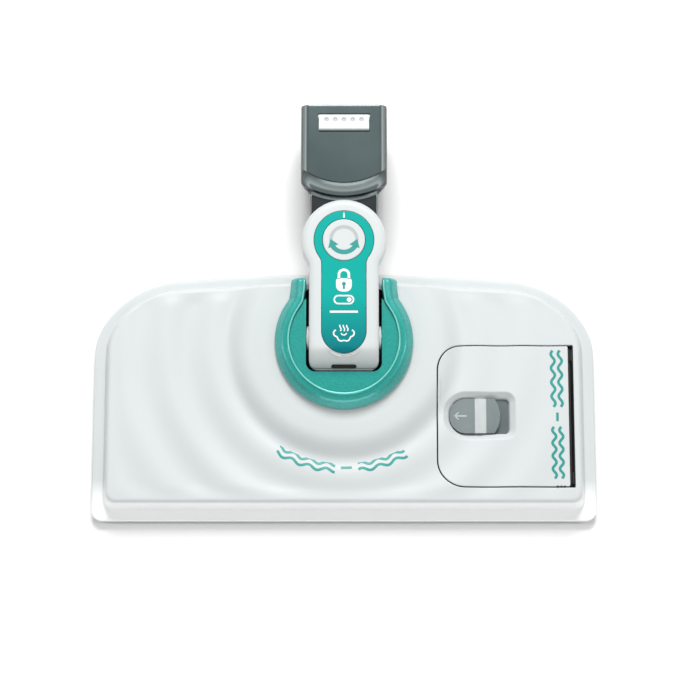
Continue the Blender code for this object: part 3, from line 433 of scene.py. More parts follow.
def block(name, x, y, z, edge=0.0, segments=3):
    """A block between two limits each way, with rounded edges."""
    bpy.ops.object.select_all(action="DESELECT")
    middle = [(a + b) / 2 * MM for a, b in (x, y, z)]
    bpy.ops.mesh.primitive_cube_add(size=1.0, location=middle)
    obj = bpy.context.object
    obj.name = name
    obj.scale = [(b - a) * MM for a, b in (x, y, z)]
    bpy.ops.object.transform_apply(location=True, rotation=True, scale=True)
    if edge:
        bpy.ops.object.mode_set(mode="EDIT")
        bpy.ops.mesh.select_all(action="SELECT")
        bpy.ops.mesh.bevel(offset=edge * MM, segments=segments, affect="EDGES")
        bpy.ops.object.mode_set(mode="OBJECT")
    return smooth(obj)


def pin(name, radius, centre, length, direction, edge=0.0, sides=48):
    """A round bar along X, Y or Z, with its end edges rounded."""
    turn = {"X": (0, math.pi / 2, 0), "Y": (math.pi / 2, 0, 0), "Z": (0, 0, 0)}[direction]
    bpy.ops.object.select_all(action="DESELECT")
    bpy.ops.mesh.primitive_cylinder_add(vertices=sides, radius=radius * MM, depth=length * MM,
                                        location=[c * MM for c in centre], rotation=turn)
    obj = bpy.context.object
    obj.name = name
    bpy.ops.object.transform_apply(location=True, rotation=True, scale=True)
    if edge:
        unselect(obj)
        for side in obj.data.polygons:
            side.select = len(side.vertices) > 4
        bpy.ops.object.mode_set(mode="EDIT")
        bpy.ops.mesh.bevel(offset=edge * MM, segments=3, affect="EDGES")
        bpy.ops.object.mode_set(mode="OBJECT")
    return smooth(obj)


def merge(name, first, *others):
    """Put several objects into one."""
    only(first)
    for other in others:
        other.select_set(True)
    bpy.ops.object.join()
    first.name = name
    return first


KNUCKLES = ((-83.6, -77.0), (-10.1, -3.5))
bars = []
for low, high in KNUCKLES:
    bars.append(block("hinge_arm", (131.0, 135.1), (low, high), (16.3, 17.6), 0.3))
    bars.append(pin("hinge_knuckle", 0.85, (135.15, (low + high) / 2, 18.1), high - low, "Y", 0.2, 24))
bars.append(block("hinge_leaf", (131.2, 135.5), (-84.8, -1.9), (15.6, 16.9), 0.2))
for x in (125.6, 127.7, 129.8):
    bars.append(block("hinge_rib", (x - 0.55, x + 0.55), (-85.85, -84.8), (16.5, 19.62), 0.1))
hinge_bar = merge("door_hinge_bar", *bars)
dress(hinge_bar, black_plastic, "door", "black_plastic")


# ---------------------------------------------------------------- latch slide
# The latch is a grey slide in the pocket: a flat grained plate, a raised ridge for the thumb with a
# painted highlight, and a crowned pad behind it. Its tongue goes under the shell's edge.

def profile_bar(name, outline, low, high, across):
    """An outline in XZ or YZ, extruded along the axis across it."""
    bpy.ops.object.select_all(action="DESELECT")
    bpy.ops.mesh.primitive_circle_add(vertices=len(outline), radius=1.0, fill_type="NGON")
    obj = bpy.context.object
    obj.name = name
    for vertex, (u, v) in zip(obj.data.vertices, outline):
        places = {"X": (low, u, v), "Y": (u, low, v), "Z": (u, v, low)}[across]
        vertex.co = [place * MM for place in places]
    step = {"X": (high - low, 0, 0), "Y": (0, high - low, 0), "Z": (0, 0, high - low)}[across]
    bpy.ops.object.transform_apply(location=True, rotation=True, scale=True)
    bpy.ops.object.mode_set(mode="EDIT")
    bpy.ops.mesh.select_all(action="SELECT")
    bpy.ops.mesh.remove_doubles(threshold=0.00001)
    bpy.ops.mesh.extrude_region_move(TRANSFORM_OT_translate={"value": [s * MM for s in step]})
    bpy.ops.mesh.select_all(action="SELECT")
    bpy.ops.mesh.normals_make_consistent(inside=False)
    bpy.ops.object.mode_set(mode="OBJECT")
    return obj


def bevel(obj, width, segments=3, angle=60):
    """Round the edges sharper than an angle."""
    return apply(obj, "BEVEL", width=width * MM, segments=segments, limit_method="ANGLE",
                 angle_limit=math.radians(angle))


def ribbon(name, path, width, height, lift=0.06, closed=False):
    """A printed stroke of even width along a path, laid on a surface."""
    rows = []
    count = len(path)
    for i, (x, y) in enumerate(path):
        before = path[i - 1] if closed or i else path[0]
        after = path[(i + 1) % count] if closed or i < count - 1 else path[-1]
        along = math.atan2(after[1] - before[1], after[0] - before[0])
        out = (-math.sin(along) * width / 2, math.cos(along) * width / 2)
        rows.append([(x + out[0] * s, y + out[1] * s, height(x + out[0] * s, y + out[1] * s) + lift)
                     for s in (-1.0, -0.5, 0.0, 0.5, 1.0)])
    points = [point for row in rows for point in row]
    faces = []
    for r in range(count if closed else count - 1):
        s = (r + 1) % count
        faces += [(r * 5 + i, s * 5 + i, s * 5 + i + 1, r * 5 + i + 1) for i in range(4)]
    return from_faces(name, points, faces)


SLIDE_TOP = 17.6

slide = block("latch_slide", (63.2, 91.6), (-50.0, -36.0), (14.35, 16.2), 0.2)
slide_side = [(60.0, 14.5), (60.0, SLIDE_TOP), (76.9, SLIDE_TOP), (77.5, 17.66)]
slide_side += arc(80.5, 14.9, 3.55, 128.0, 52.0, 18)
slide_side += [(83.2, 17.5), (84.2, 17.5), (86.3, 17.7), (89.0, 17.75), (95.0, SLIDE_TOP), (95.0, 14.5)]
grip = profile_bar("latch_grip", slide_side, -60.0, -20.0, "Y")
slide_plan = arc(72.1, -43.9, 9.5, 180.0, 270.0, 20) + line((72.1, -53.4), (89.0, -53.4), 3)
slide_plan += arc(74.6, -43.1, 17.7, -35.5, 35.5, 24) + line((89.0, -32.8), (72.1, -32.8), 3)
slide_plan += arc(72.1, -42.3, 9.5, 90.0, 180.0, 20)
combine(grip, profile_bar("grip_plan", slide_plan, 10.0, 30.0, "Z"), "INTERSECT")
bevel(grip, 0.4)
tongue = block("latch_tongue", (55.3, 66.0), (-46.2, -37.8), (14.5, 15.9), 0.25)
leg = block("latch_leg", (71.0, 78.0), (-51.0, -48.6), (11.9, 15.0), 0.2)
merge("latch_slide", slide, grip, tongue, leg)
smooth(slide, 40.0)
emboss = []
shaft = line((65.6, -43.1), (72.6, -43.1), 4) + [(72.6, -43.1)]
for path in (shaft, [(67.8, -45.2), (65.4, -43.1), (67.8, -41.0)]):
    emboss.append(ribbon("slide_arrow", path, 0.7, lambda x, y: SLIDE_TOP, 0.05))
track = profile_bar("slide_track", rounded_loop(*POCKET, -0.25, 10, 4, 4), 14.06, 14.26, "Z")


def grey_plastic_material(name, dark, light, grain_mm, bump_strength, roughness):
    """Grey moulded ABS with a satin, spark-eroded grain that scatters the light a little."""
    made, tree, shader, place = new_material(name)
    grain = noise(tree, place, 1000.0 / grain_mm, 2.0)
    drift = noise(tree, place, 40.0, 2.0)
    speck = add(tree, "ShaderNodeMath", {"operation": "MULTIPLY_ADD", 1: 0.35},
                {0: grain.outputs["Fac"], 2: drift.outputs["Fac"]})
    tone = mix(tree, dark, light, speck.outputs["Value"])
    bump = roughen(tree, grain.outputs["Fac"], bump_strength, 0.00005)
    wire(tree, shader, tone, bump=bump, values={"Roughness": roughness})
    return made


latch_grey = grey_plastic_material("satin_grey_abs_latch", "#5E6969", "#848E8E", 0.9, 0.6, 0.3)
dress(slide, latch_grey, "latch", "grey_plastic", "latch_slider")
track_grey = grey_plastic_material("satin_grey_abs_track", "#4C5656", "#687272", 0.9, 0.4, 0.4)
dress(track, track_grey, "door", "grey_plastic")
arrow_mark = merge("slide_arrow_mark", *emboss)
# A lighter, glossier grey. On the ridge and along the pad's right edge it is a painted highlight; the
# raised arrow is drawn in it too.
highlight_and_mark_grey = grey_plastic_material("painted_highlight_and_mark_grey_abs", "#9AA2A2", "#CDD2D2", 0.7, 0.25, 0.22)
slide.data.materials.append(highlight_and_mark_grey)
# Faces on the ridge and on the pad's rounded right edge take the painted highlight.
for side in slide.data.polygons:
    ridge = 77.2 * MM < side.center.x < 83.6 * MM and side.center.z > 17.0 * MM
    rim_edge = side.center.x > 88.0 * MM and side.center.z > 17.0 * MM and 0.15 < side.normal.z < 0.97
    if ridge or rim_edge:
        side.material_index = 1
dress(arrow_mark, highlight_and_mark_grey, "latch", "grey_plastic")


# ---------------------------------------------------------------- yoke ring
# The yoke is a teal moulding with a pearl lacquer: a round raised rim that swings out at the rear
# into two blunt ears, round a flat face with a straight channel for the neck.

# The rim's section: how far outside its middle line each point lies, and its height.
RIM_FOOT_Z = 28.3
BAND = ((4.6, RIM_FOOT_Z), (4.6, 29.5), (4.5, 29.9), (4.25, 30.4), (3.6, 31.5), (2.6, 32.9), (1.5, 34.2),
        (0.5, 35.1), (0.1, 35.35), (-0.3, 35.5), (-1.2, 35.65), (-2.4, 35.75), (-2.75, 35.9), (-3.0, 36.3),
        (-3.3, 36.55), (-3.7, 36.6), (-4.05, 36.35), (-4.25, 35.9), (-4.35, 35.3), (-4.5, 34.7),
        (-4.6, 34.0), (-4.6, RIM_FOOT_Z))
BAND_R = 36.4
EAR_START = 40.0
EAR_X = 26.9
EAR_TOP_Y = 37.0

route = []
for i in range(151):
    angle = math.radians(EAR_START - (180.0 + 2.0 * EAR_START) * i / 150)
    route.append((BAND_R * math.cos(angle), BAND_R * math.sin(angle)))
lead = []
join_x, join_y = route[0]
for i in range(60):
    t = i / 60
    x = EAR_X + (join_x - EAR_X) * share(t, 0.35, 1.0)
    lead.append((x, EAR_TOP_Y + (join_y - EAR_TOP_Y) * t))
# The ear's straight line is eased into the rim's circle by averaging neighbours.
route = lead + route + [(-x, y) for x, y in reversed(lead)]
for _ in range(14):
    inner = [((a[0] + 2 * b[0] + c[0]) / 4, (a[1] + 2 * b[1] + c[1]) / 4)
             for a, b, c in zip(route, route[1:], route[2:])]
    route = [route[0]] + inner + [route[-1]]
sections = []
for i, (x, y) in enumerate(route):
    before, after = route[max(i - 1, 0)], route[min(i + 1, len(route) - 1)]
    along = math.atan2(after[1] - before[1], after[0] - before[0])
    out = (-math.sin(along), math.cos(along))
    end = max(0.0, 1.0 - (EAR_TOP_Y - y) / 3.0) if y > 30.0 else 0.0
    tuck = 1.0 - math.sqrt(max(1.0 - end * end, 0.0))
    sections.append([(x + out[0] * w * (1 - tuck * 0.22), y + out[1] * w * (1 - tuck * 0.22),
                      RIM_FOOT_Z + (z - RIM_FOOT_Z) * (1.0 - 0.32 * tuck)) for w, z in BAND])


def loft(name, rows):
    """A closed tube of faces through a row of like sections, with flat ends."""
    size = len(rows[0])
    points = [point for row in rows for point in row]
    faces = []
    for r in range(len(rows) - 1):
        for i in range(size):
            j = (i + 1) % size
            faces.append((r * size + i, r * size + j, (r + 1) * size + j, (r + 1) * size + i))
    faces.append(list(range(size)))
    faces.append([len(points) - size + i for i in reversed(range(size))])
    obj = from_faces(name, points, faces)
    only(obj)
    bpy.ops.object.mode_set(mode="EDIT")
    bpy.ops.mesh.select_all(action="SELECT")
    bpy.ops.mesh.normals_make_consistent(inside=False)
    bpy.ops.object.mode_set(mode="OBJECT")
    return obj


yoke = loft("yoke", sections)
face = profile_bar("yoke_face", arc(0.0, 0.0, 33.0, 0.0, 360.0, 160), 32.4, 34.8, "Z")
behind = block("behind_face", (-60, 60), (24.5, 60), (20, 50))
combine(face, behind, "DIFFERENCE")
channel_plan = rounded_loop((-22.3, 22.3), (-19.4, 60.0), (5.5, 5.5, 0.1, 0.1), 0.0)
combine(face, profile_bar("channel", channel_plan, 20.0, 50.0, "Z"), "DIFFERENCE")
bevel(face, 0.35)
merge("yoke", yoke, face)
smooth(yoke, 40.0)


def pearl_teal_material():
    """Teal plastic under a pearl lacquer: fine bright flakes under a clear coat."""
    made, tree, shader, place = new_material("teal_pearl_lacquer")
    # Flakes are drawn at 0.45 mm, coarser than real ones, so that they show.
    flakes = add(tree, "ShaderNodeTexVoronoi", {"Scale": 2200.0}, {"Vector": place.outputs["Object"]})
    cloud = noise(tree, place, 900.0, 3.0)
    grey = add(tree, "ShaderNodeRGBToBW", {}, {"Color": flakes.outputs["Color"]})
    both = add(tree, "ShaderNodeMath", {"operation": "MULTIPLY_ADD", 1: 0.5},
               {0: grey.outputs["Val"], 2: cloud.outputs["Fac"]})
    mottle = spread(tree, both.outputs["Value"], "From", 0.2, 1.2)
    inner = mix(tree, "#06857F", "#18A296", mottle.outputs["Result"])
    outer = mix(tree, "#1F948E", "#4DB7AE", mottle.outputs["Result"])
    # The rim's outer slope and its bead are painted paler: painted light on the slope, and a painted
    # highlight along the bead.
    parts = add(tree, "ShaderNodeSeparateXYZ", {}, {"Vector": place.outputs["Object"]})
    level = add(tree, "ShaderNodeCombineXYZ", {}, {"X": parts.outputs["X"], "Y": parts.outputs["Y"]})
    radius = add(tree, "ShaderNodeVectorMath", {"operation": "LENGTH"}, {0: level.outputs["Vector"]})
    painted_slope_light = spread(tree, radius.outputs["Value"], "From", 0.0350, 0.0368)
    painted_bead_highlight = spread(tree, parts.outputs["Z"], "From", 0.0360, 0.0365)
    body = add(tree, "ShaderNodeMix", {"data_type": "RGBA"},
               {0: painted_slope_light.outputs["Result"], 6: inner.outputs[2], 7: outer.outputs[2]})
    tone = add(tree, "ShaderNodeMix", {"data_type": "RGBA", 7: linear("#74CFC5")},
               {0: painted_bead_highlight.outputs["Result"], 6: body.outputs[2]})
    bump = roughen(tree, grey.outputs["Val"], 0.25, 0.00004)
    wire(tree, shader, tone, bump=bump,
         values={"Metallic": 0.45, "Roughness": 0.4,
                 "Coat Weight": 0.5, "Coat Roughness": 0.14})
    return made


dress(yoke, pearl_teal_material(), "base", "pearl_teal", "yoke_ring")


# ---------------------------------------------------------------- neck covers
# The neck is two white ABS covers screwed together. The front one has a flat face with soft
# edges, a round head over the swivel, and a rounded nose with a black catch for parking upright;
# the catch fills the notch, so its black also stands in for the notch's shade.

NECK = {"head": 25.0, "stem": 20.4, "fillet": 10.0, "end": -18.3, "corner": 5.0}
LABEL = {"head": 17.5, "stem": 12.9, "fillet": 8.0, "end": -10.4, "corner": 12.9}
SWIVEL_Y = 57.0
TILT_Y, TILT_Z = 1.5, 29.0
NOSE_R = 19.8
NECK_TOP = 46.4


def neck_top(x, y):
    """Height of the neck's face: flat, and rolled over round the tilt axis at the nose."""
    ahead = TILT_Y - y
    if ahead <= 0.0:
        return NECK_TOP
    return min(NECK_TOP, TILT_Z + math.sqrt(max(NOSE_R ** 2 - ahead ** 2, 4.0)))


def keyhole_loop(form, inset):
    """A round head on a straight stem, eased together, with a rounded end; counterclockwise."""
    head, stem = form["head"] - inset, form["stem"] - inset
    fillet, corner = form["fillet"] + inset, max(form["corner"] - inset, 0.3)
    end = form["end"] + inset
    rise = math.sqrt((head + fillet) ** 2 - (stem + fillet) ** 2)
    y = SWIVEL_Y - rise
    turn = math.degrees(math.atan2(rise, -(stem + fillet)))
    right = line((corner - stem, end), (stem - corner, end), 16)
    right += arc(stem - corner, end + corner, corner, 270.0, 360.0, 14)
    right += line((stem, end + corner), (stem, y), 24)
    right += arc(stem + fillet, y, fillet, 180.0, turn, 12)
    right += arc(0.0, SWIVEL_Y, head, turn - 180.0, 360.0 - turn, 96)
    left = arc(-stem - fillet, y, fillet, 180.0 - turn, 0.0, 12)
    left += line((-stem, y), (-stem, end + corner), 24)
    left += arc(corner - stem, end + corner, corner, 180.0, 270.0, 14)
    return right + left


def even_spots(x, y, apart):
    """Points on a staggered grid."""
    spots = []
    for row in range(int((y[1] - y[0]) / apart)):
        for column in range(int((x[1] - x[0]) / apart)):
            spots.append((x[0] + (column + 0.5 * (row % 2)) * apart, y[0] + row * apart))
    return spots


EDGE_R, EDGE_DROP = 4.2, 3.0
cover_edge = [[(x, y, 41.65 if y > 12.0 else 32.2) for x, y in keyhole_loop(NECK, 0.0)]]
for step in range(13):
    angle = math.radians(90.0 * step / 12)
    inset, drop = EDGE_R * (1 - math.sin(angle)), EDGE_DROP * (1 - math.cos(angle))
    cover_edge.insert(1, [(x, y, max(neck_top(x, y) - drop, 32.4)) for x, y in keyhole_loop(NECK, inset)])
recess = [[(x, y, neck_top(x, y) - drop) for x, y in keyhole_loop(LABEL, -grow)]
          for grow, drop in ((0.75, 0.0), (0.5, 0.02), (0.34, 0.12), (0.3, 0.3), (0.3, 0.8))]
spots = even_spots((-25, 25), (-19, 83), 1.5)
clear = inside(spots, keyhole_loop(NECK, EDGE_R + 0.8)) & ~inside(spots, keyhole_loop(LABEL, -1.6))
cover = skin("neck_front", cover_edge, [recess], chosen(spots, clear), neck_top)
unselect(cover)
size = len(recess[0])
offset = sum(len(row) for row in cover_edge) + size * (len(recess) - 1)
for number in range(size):
    cover.data.vertices[offset + number].select = True
bpy.ops.object.mode_set(mode="EDIT")
bpy.ops.mesh.select_mode(type="VERT")
bpy.ops.mesh.fill(use_beauty=True)
bpy.ops.object.mode_set(mode="OBJECT")
apply(cover, "SOLIDIFY", thickness=1.7 * MM, offset=-1.0, use_even_offset=False)
notch_plan = rounded_loop((-7.5, 7.5), (-24.0, -15.6), (0.2, 0.2, 1.4, 1.4), 0.0)
combine(cover, profile_bar("notch", notch_plan, 33.5, 39.6, "Z"), "DIFFERENCE")
smooth(cover, 32.0)
dress(cover, white_abs, "neck", "white_abs", "neck_front_cover")

# The catch sits low in the notch. Its black is partly painted shade, standing in for the dark of the deep
# notch.
catch_plan = rounded_loop((-7.3, 7.3), (-17.4, -12.0), (1.0, 1.0, 0.4, 0.4), 0.0, corner=6)
catch = profile_bar("park_catch", catch_plan, 33.4, 36.2, "Z")
smooth(bevel(catch, 0.3, 2, 50))
dress(catch, black_plastic, "neck", "black_plastic")


def neck_profile(shrink):
    """The rear cover from the side: the barrel on the tilt axis, the stem and the head."""
    points = [(SWIVEL_Y + 40.0, 41.35), (12.0 - shrink, 41.35), (12.0 - shrink, 31.8), (-17.6, 31.8)]
    points += arc(TILT_Y, TILT_Z, 17.4 - shrink, 172.0, 376.7, 56)
    return points + [(35.5 + shrink, 34.0 + shrink), (35.5 + shrink, 38.4 + shrink),
                     (SWIVEL_Y + 40.0, 38.4 + shrink)]


rear_cover = profile_bar("neck_rear", neck_profile(0.0), -30.0, 30.0, "X")
combine(rear_cover, profile_bar("neck_plan", keyhole_loop(NECK, 0.0), 0.0, 60.0, "Z"), "INTERSECT")
hollow = profile_bar("neck_hollow", neck_profile(2.2), -18.2, 18.2, "X")
combine(rear_cover, hollow, "DIFFERENCE")
for side in (-1.0, 1.0):
    combine(rear_cover, pin("boss", 7.0, (side * 18.6, TILT_Y, TILT_Z), 6.8, "X", 0.4), "UNION")
    combine(rear_cover, pin("seat", 5.3, (side * 19.0, TILT_Y, TILT_Z), 8.0, "X"), "DIFFERENCE")
combine(rear_cover, pin("spindle_hole", 5.6, (0.0, SWIVEL_Y, 39.0), 9.0, "Z"), "DIFFERENCE")
for y in (19.0, 33.0):
    combine(rear_cover, pin("screw_hole", 1.5, (0.0, y, 36.0), 9.0, "Z", sides=24), "DIFFERENCE")
    combine(rear_cover, pin("screw_well", 2.8, (0.0, y, 33.2), 4.0, "Z", sides=32), "DIFFERENCE")
smooth(rear_cover, 32.0)
dress(rear_cover, white_abs, "neck", "white_abs", "neck_rear_cover")


# ---------------------------------------------------------------- label and its marks
# The label is a printed teal polycarbonate sheet in the cover's recess, lighter at the head and
# deeper at the nose, with white pictograms. Words are replaced by plain pictograms.

def label_height(x, y):
    """Height of the label's face, just above the cover."""
    return neck_top(x, y) + 0.22


label_edge = [[(x, y, label_height(x, y) - drop) for x, y in keyhole_loop(LABEL, inset)]
              for inset, drop in ((0.0, 0.75), (0.0, 0.18), (0.06, 0.06), (0.2, 0.0), (0.5, 0.0))]
window = [[(x, y, label_height(x, y) - drop) for x, y in arc(0.0, SWIVEL_Y, radius, 0.0, 360.0, 120)]
          for radius, drop in ((13.1, 0.0), (12.85, 0.0), (12.75, 0.08), (12.75, 0.7))]
spots = even_spots((-18, 18), (-11, 75), 1.6)
clear = inside(spots, keyhole_loop(LABEL, 1.0))
label = skin("label", label_edge, [window], chosen(spots, clear), label_height)
smooth(label, 32.0)


def label_material():
    """Teal screen print under a satin polycarbonate sheet, shaded from light to deep."""
    made, tree, shader, place = new_material("teal_printed_label")
    parts = add(tree, "ShaderNodeSeparateXYZ", {}, {"Vector": place.outputs["Object"]})
    depth = spread(tree, parts.outputs["Y"], "From", -0.010, 0.024)
    tone = mix(tree, "#04727A", "#05A69C", depth.outputs["Result"])
    # Sheet texture of about 0.7 mm.
    film = noise(tree, place, 1400.0, 2.0)
    gloss = spread(tree, film.outputs["Fac"], "To", 0.3, 0.42)
    bump = roughen(tree, film.outputs["Fac"], 0.1, 0.00003)
    wire(tree, shader, tone, gloss=gloss, bump=bump, values={"Specular IOR Level": 0.15})
    return made


dress(label, label_material(), "neck", "teal_label", "label_plate")


def ink_material(name, colour, roughness=0.42):
    """Pad-printed ink: flat and slightly uneven, as a thin film of paint. It also carries the painted
    shade in the button's dimples.
    """
    made, tree, shader, place = new_material(name)
    film = noise(tree, place, 900.0, 3.0)
    gloss = spread(tree, film.outputs["Fac"], "To", roughness - 0.06, roughness + 0.06)
    base = linear(colour)
    deep = tuple(channel * 0.9 for channel in base[:3]) + (1.0,)
    tone = add(tree, "ShaderNodeMix", {"data_type": "RGBA", 6: deep, 7: base}, {0: film.outputs["Fac"]})
    wire(tree, shader, tone, gloss=gloss)
    return made


white_ink = ink_material("white_pad_print_ink", "#F4F7F6")
teal_ink = ink_material("teal_pad_print_ink", "#21968F")
grey_ink = ink_material("light_grey_pad_print_ink", "#B4BBBB")


def patch(name, loop, height, lift=0.06):
    """A printed patch with a closed outline, laid on a surface."""
    return skin(name, [[(x, y, height(x, y) + lift) for x, y in loop]], [], [],
                lambda x, y: height(x, y) + lift)


def closed_arc(x, y, radius, start, end, count):
    """An arc with its end point on it."""
    turn = math.radians(end)
    last = (x + radius * math.cos(turn), y + radius * math.sin(turn))
    return arc(x, y, radius, start, end, count) + [last]


LOCK_Y = 31.4
lock_body = rounded_loop((-4.6, 4.6), (LOCK_Y - 5.6, LOCK_Y + 2.4), (3.6, 3.6, 1.6, 1.6), 0.0, 8, 4, 4)
shackle = closed_arc(0.0, LOCK_Y + 4.6, 2.9, 180.0, 0.0, 20)
shackle = [(-2.9, LOCK_Y + 2.0)] + shackle + [(2.9, LOCK_Y + 2.0)]
marks = [patch("lock_body", lock_body, label_height), ribbon("shackle", shackle, 1.5, label_height)]
marks.append(ribbon("bar", line((-8.2, 13.8), (8.2, 13.8), 8) + [(8.2, 13.8)], 1.25, label_height))
# A plain toggle stands where a word would be.
toggle = rounded_loop((-5.6, 5.6), (18.6, 23.4), (2.4, 2.4, 2.4, 2.4), 0.0, 8, 4, 1)
marks.append(ribbon("toggle", toggle, 0.9, label_height, closed=True))
marks.append(patch("toggle_dot", arc(3.1, 21.0, 1.35, 0.0, 360.0, 24), label_height))
# Steam: three wavy lines over a cloud.
for x in (-2.0, 0.0, 2.0):
    wave = [(x + 0.45 * math.sin(t * 1.1), 2.2 + t * 0.75) for t in range(6)]
    marks.append(ribbon("steam_line", wave, 0.7, label_height))
cloud = []
for cx, cy, radius, start, end in ((-4.0, 1.0, 2.0, 110.0, 265.0), (-1.6, -1.6, 2.0, 190.0, 300.0),
                                   (1.6, -1.6, 2.0, 240.0, 350.0), (4.0, 1.0, 2.0, 275.0, 430.0)):
    cloud += closed_arc(cx, cy, radius, start, end, 12)
marks.append(ribbon("cloud", cloud, 0.85, label_height))
marks.append(ribbon("cloud_inner", closed_arc(0.0, 1.6, 1.7, 200.0, 340.0, 10), 0.7, label_height))
# The tick that shows the swivel's middle.
tick = [(-0.45, 70.4), (0.45, 70.4), (0.45, 72.4), (0.0, 73.8), (-0.45, 72.4)]
marks.append(patch("tick", tick, label_height))
label_marks = merge("label_marks", *marks)
dress(label_marks, white_ink, "neck", "white_abs")
keyhole = [patch("keyhole_top", arc(0.0, LOCK_Y - 0.9, 1.15, 0.0, 360.0, 20), label_height, 0.12),
           patch("keyhole_slot", [(-0.45, LOCK_Y - 1.6), (-0.75, LOCK_Y - 4.0), (0.75, LOCK_Y - 4.0),
                                  (0.45, LOCK_Y - 1.6)], label_height, 0.12)]
keyhole_mark = merge("keyhole_mark", *keyhole)
dress(keyhole_mark, teal_ink, "neck", "teal_label")


# ---------------------------------------------------------------- pivot cap
# The round cap over the swivel is a shallow white disc that snaps into the cover. It carries a
# grey scale arc and a teal arrow with two heads that shows the swivel.

cap_rings = [(12.2, 45.3), (12.45, 45.5), (12.45, 46.4), (12.36, 46.72), (12.13, 46.92), (11.8, 47.0)]
cap = loft("swivel_cap", [[(x, y, z) for x, y in arc(0.0, SWIVEL_Y, radius, 0.0, 360.0, 128)]
                          for radius, z in cap_rings])
smooth(cap, 32.0)
dress(cap, white_abs, "neck", "white_abs", "pivot_cap")


def cap_height(x, y):
    """Height of the cap's flat face, for the marks on it."""
    return 47.02


scale_arc = closed_arc(0.0, SWIVEL_Y + 0.2, 7.6, -28.0, 208.0, 60)
grey_arc = ribbon("cap_scale_arc", scale_arc, 1.9, cap_height)
dress(grey_arc, grey_ink, "neck", "white_abs")
bend = ribbon("arrow_bend", closed_arc(0.0, SWIVEL_Y + 0.4, 7.9, 212.0, 328.0, 40), 2.7, cap_height, 0.07)
heads = []
for side in (-1.0, 1.0):
    tip = [(side * 7.9, SWIVEL_Y + 0.4), (side * 9.2, SWIVEL_Y - 5.2), (side * 3.3, SWIVEL_Y - 2.9)]
    heads.append(patch("arrow_head", tip if side > 0 else tip[::-1], cap_height, 0.1))
arrow = merge("cap_arrow", bend, *heads)
dress(arrow, teal_ink, "neck", "teal_label")


# ---------------------------------------------------------------- socket
# The socket takes the spigot of the mop's body. It is two satin grey ABS halves, screwed together
# from below, with a flat face that ends in an arc, two scooped steps and a flat swivel arm.

SOCKET_TOP = 46.4
SOCKET_END = 140.0
END_ROLL = 0.7


def socket_half_width(y):
    """Half width from above: the arm's round end, its straight sides, the shoulders and the body."""
    if y < SWIVEL_Y:
        return math.sqrt(max(20.0 ** 2 - (SWIVEL_Y - y) ** 2, 0.4))
    return 20.0 + 5.6 * share(y, 85.5, 94.5)


def socket_face(x, v):
    """Height of the face on the line v: flat, then two scoops down to the arm."""
    if v >= 92.2:
        return SOCKET_TOP
    if v >= 85.2:
        t = (92.2 - v) / 7.0
        scoop = 4.1 * (1.0 - (1.0 - t) ** 2)
        return SOCKET_TOP - 0.3 * share(t, 0.0, 0.04) - scoop - 0.2 * share(t, 0.85, 1.0)
    u = min((85.2 - v) / 3.2, 1.0)
    return SOCKET_TOP - 4.6 - 3.7 * math.sqrt(1.0 - (1.0 - u) ** 2)


def socket_bend(v):
    """How strongly the line v is bent into an arc across the face."""
    if v >= 92.2:
        return (1.0 - share(v, 92.2, 117.0)) / 74.0
    return (1.0 / 90.0 + (1.0 / 74.0 - 1.0 / 90.0) * share(v, 85.2, 92.2)) * share(v, 71.0, 85.2)


# The lines across the socket stand closer together where the face bends.
lines = [37.15, 37.6, 38.4, 39.6, 41.2, 43.5, 46.5, 50.0, 54.0, 57.0, 61.0, 65.0, 70.0, 75.0, 79.0, 80.8]
lines += [81.6, 82.0, 82.4, 82.8, 83.2, 83.6, 84.0, 84.4, 84.7, 84.95, 85.1, 85.17, 85.2, 85.4, 86.0]
lines += [86.7, 87.4, 88.1, 88.8, 89.4, 90.0, 90.5, 91.0, 91.4, 91.7, 91.95, 92.1, 92.17, 92.2, 92.3, 92.8]
lines += [93.7, 95.0, 97.0, 99.0, 101.5, 104.0, 108.0, 113.0, 119.0, 125.0, 131.0, 136.0, 138.6]
lines += [139.3, 139.7, 139.92, 140.0]
ACROSS = 64
rows = []
for v in lines:
    row = []
    end_tuck = max(0.0, END_ROLL - (SOCKET_END - v))
    end_drop = END_ROLL - math.sqrt(max(0.49 - end_tuck ** 2, 0.0)) if end_tuck else 0.0
    for i in range(ACROSS + 1):
        u = math.sin(math.pi * (i / ACROSS - 0.5))
        y = v
        for _ in range(12):
            half = socket_half_width(y) - end_drop
            x = u * half
            y = v + socket_bend(v) * x * x
        roll = 1.0 + 4.0 * share(y, 86.0, 94.0)
        edge = half - abs(x)
        drop = roll - math.sqrt(roll * roll - (roll - edge) ** 2) if edge < roll else 0.0
        row.append((x, y, socket_face(x, v) - drop - end_drop))
    base = 33.4 if v < 77.0 else 30.55
    # The walls of the shoulders lean in towards the rear on their way down.
    row += [(math.copysign(socket_half_width(y - 5.0) - end_drop, x) if y > SWIVEL_Y + 8.0 else x, y, base)
            for x, y, _ in (row[-1], row[0])]
    rows.append(row)
front_half = loft("socket_front", rows)


def socket_bore(name):
    """The space that is cut out of both halves: the mouth and the duct ahead of it."""
    mouth_plan = rounded_loop((-22.7, 22.7), (17.2, 43.6), (5.4, 5.4, 5.4, 5.4), 0.0, 12, 4, 4)
    mouth = profile_bar(name, mouth_plan, 97.0, 150.0, "Y")
    return combine(mouth, block("duct", (-14, 14), (80, 98), (21.6, 35.3)), "UNION")


combine(front_half, socket_bore("mouth"), "DIFFERENCE")
combine(front_half, block("window", (-15.35, 15.35), (123.1, 134.35), (40, 60)), "DIFFERENCE")
combine(front_half, pin("bush_hole", 7.8, (0.0, SWIVEL_Y, 36.0), 9.0, "Z"), "DIFFERENCE")
smooth(front_half, 28.0)

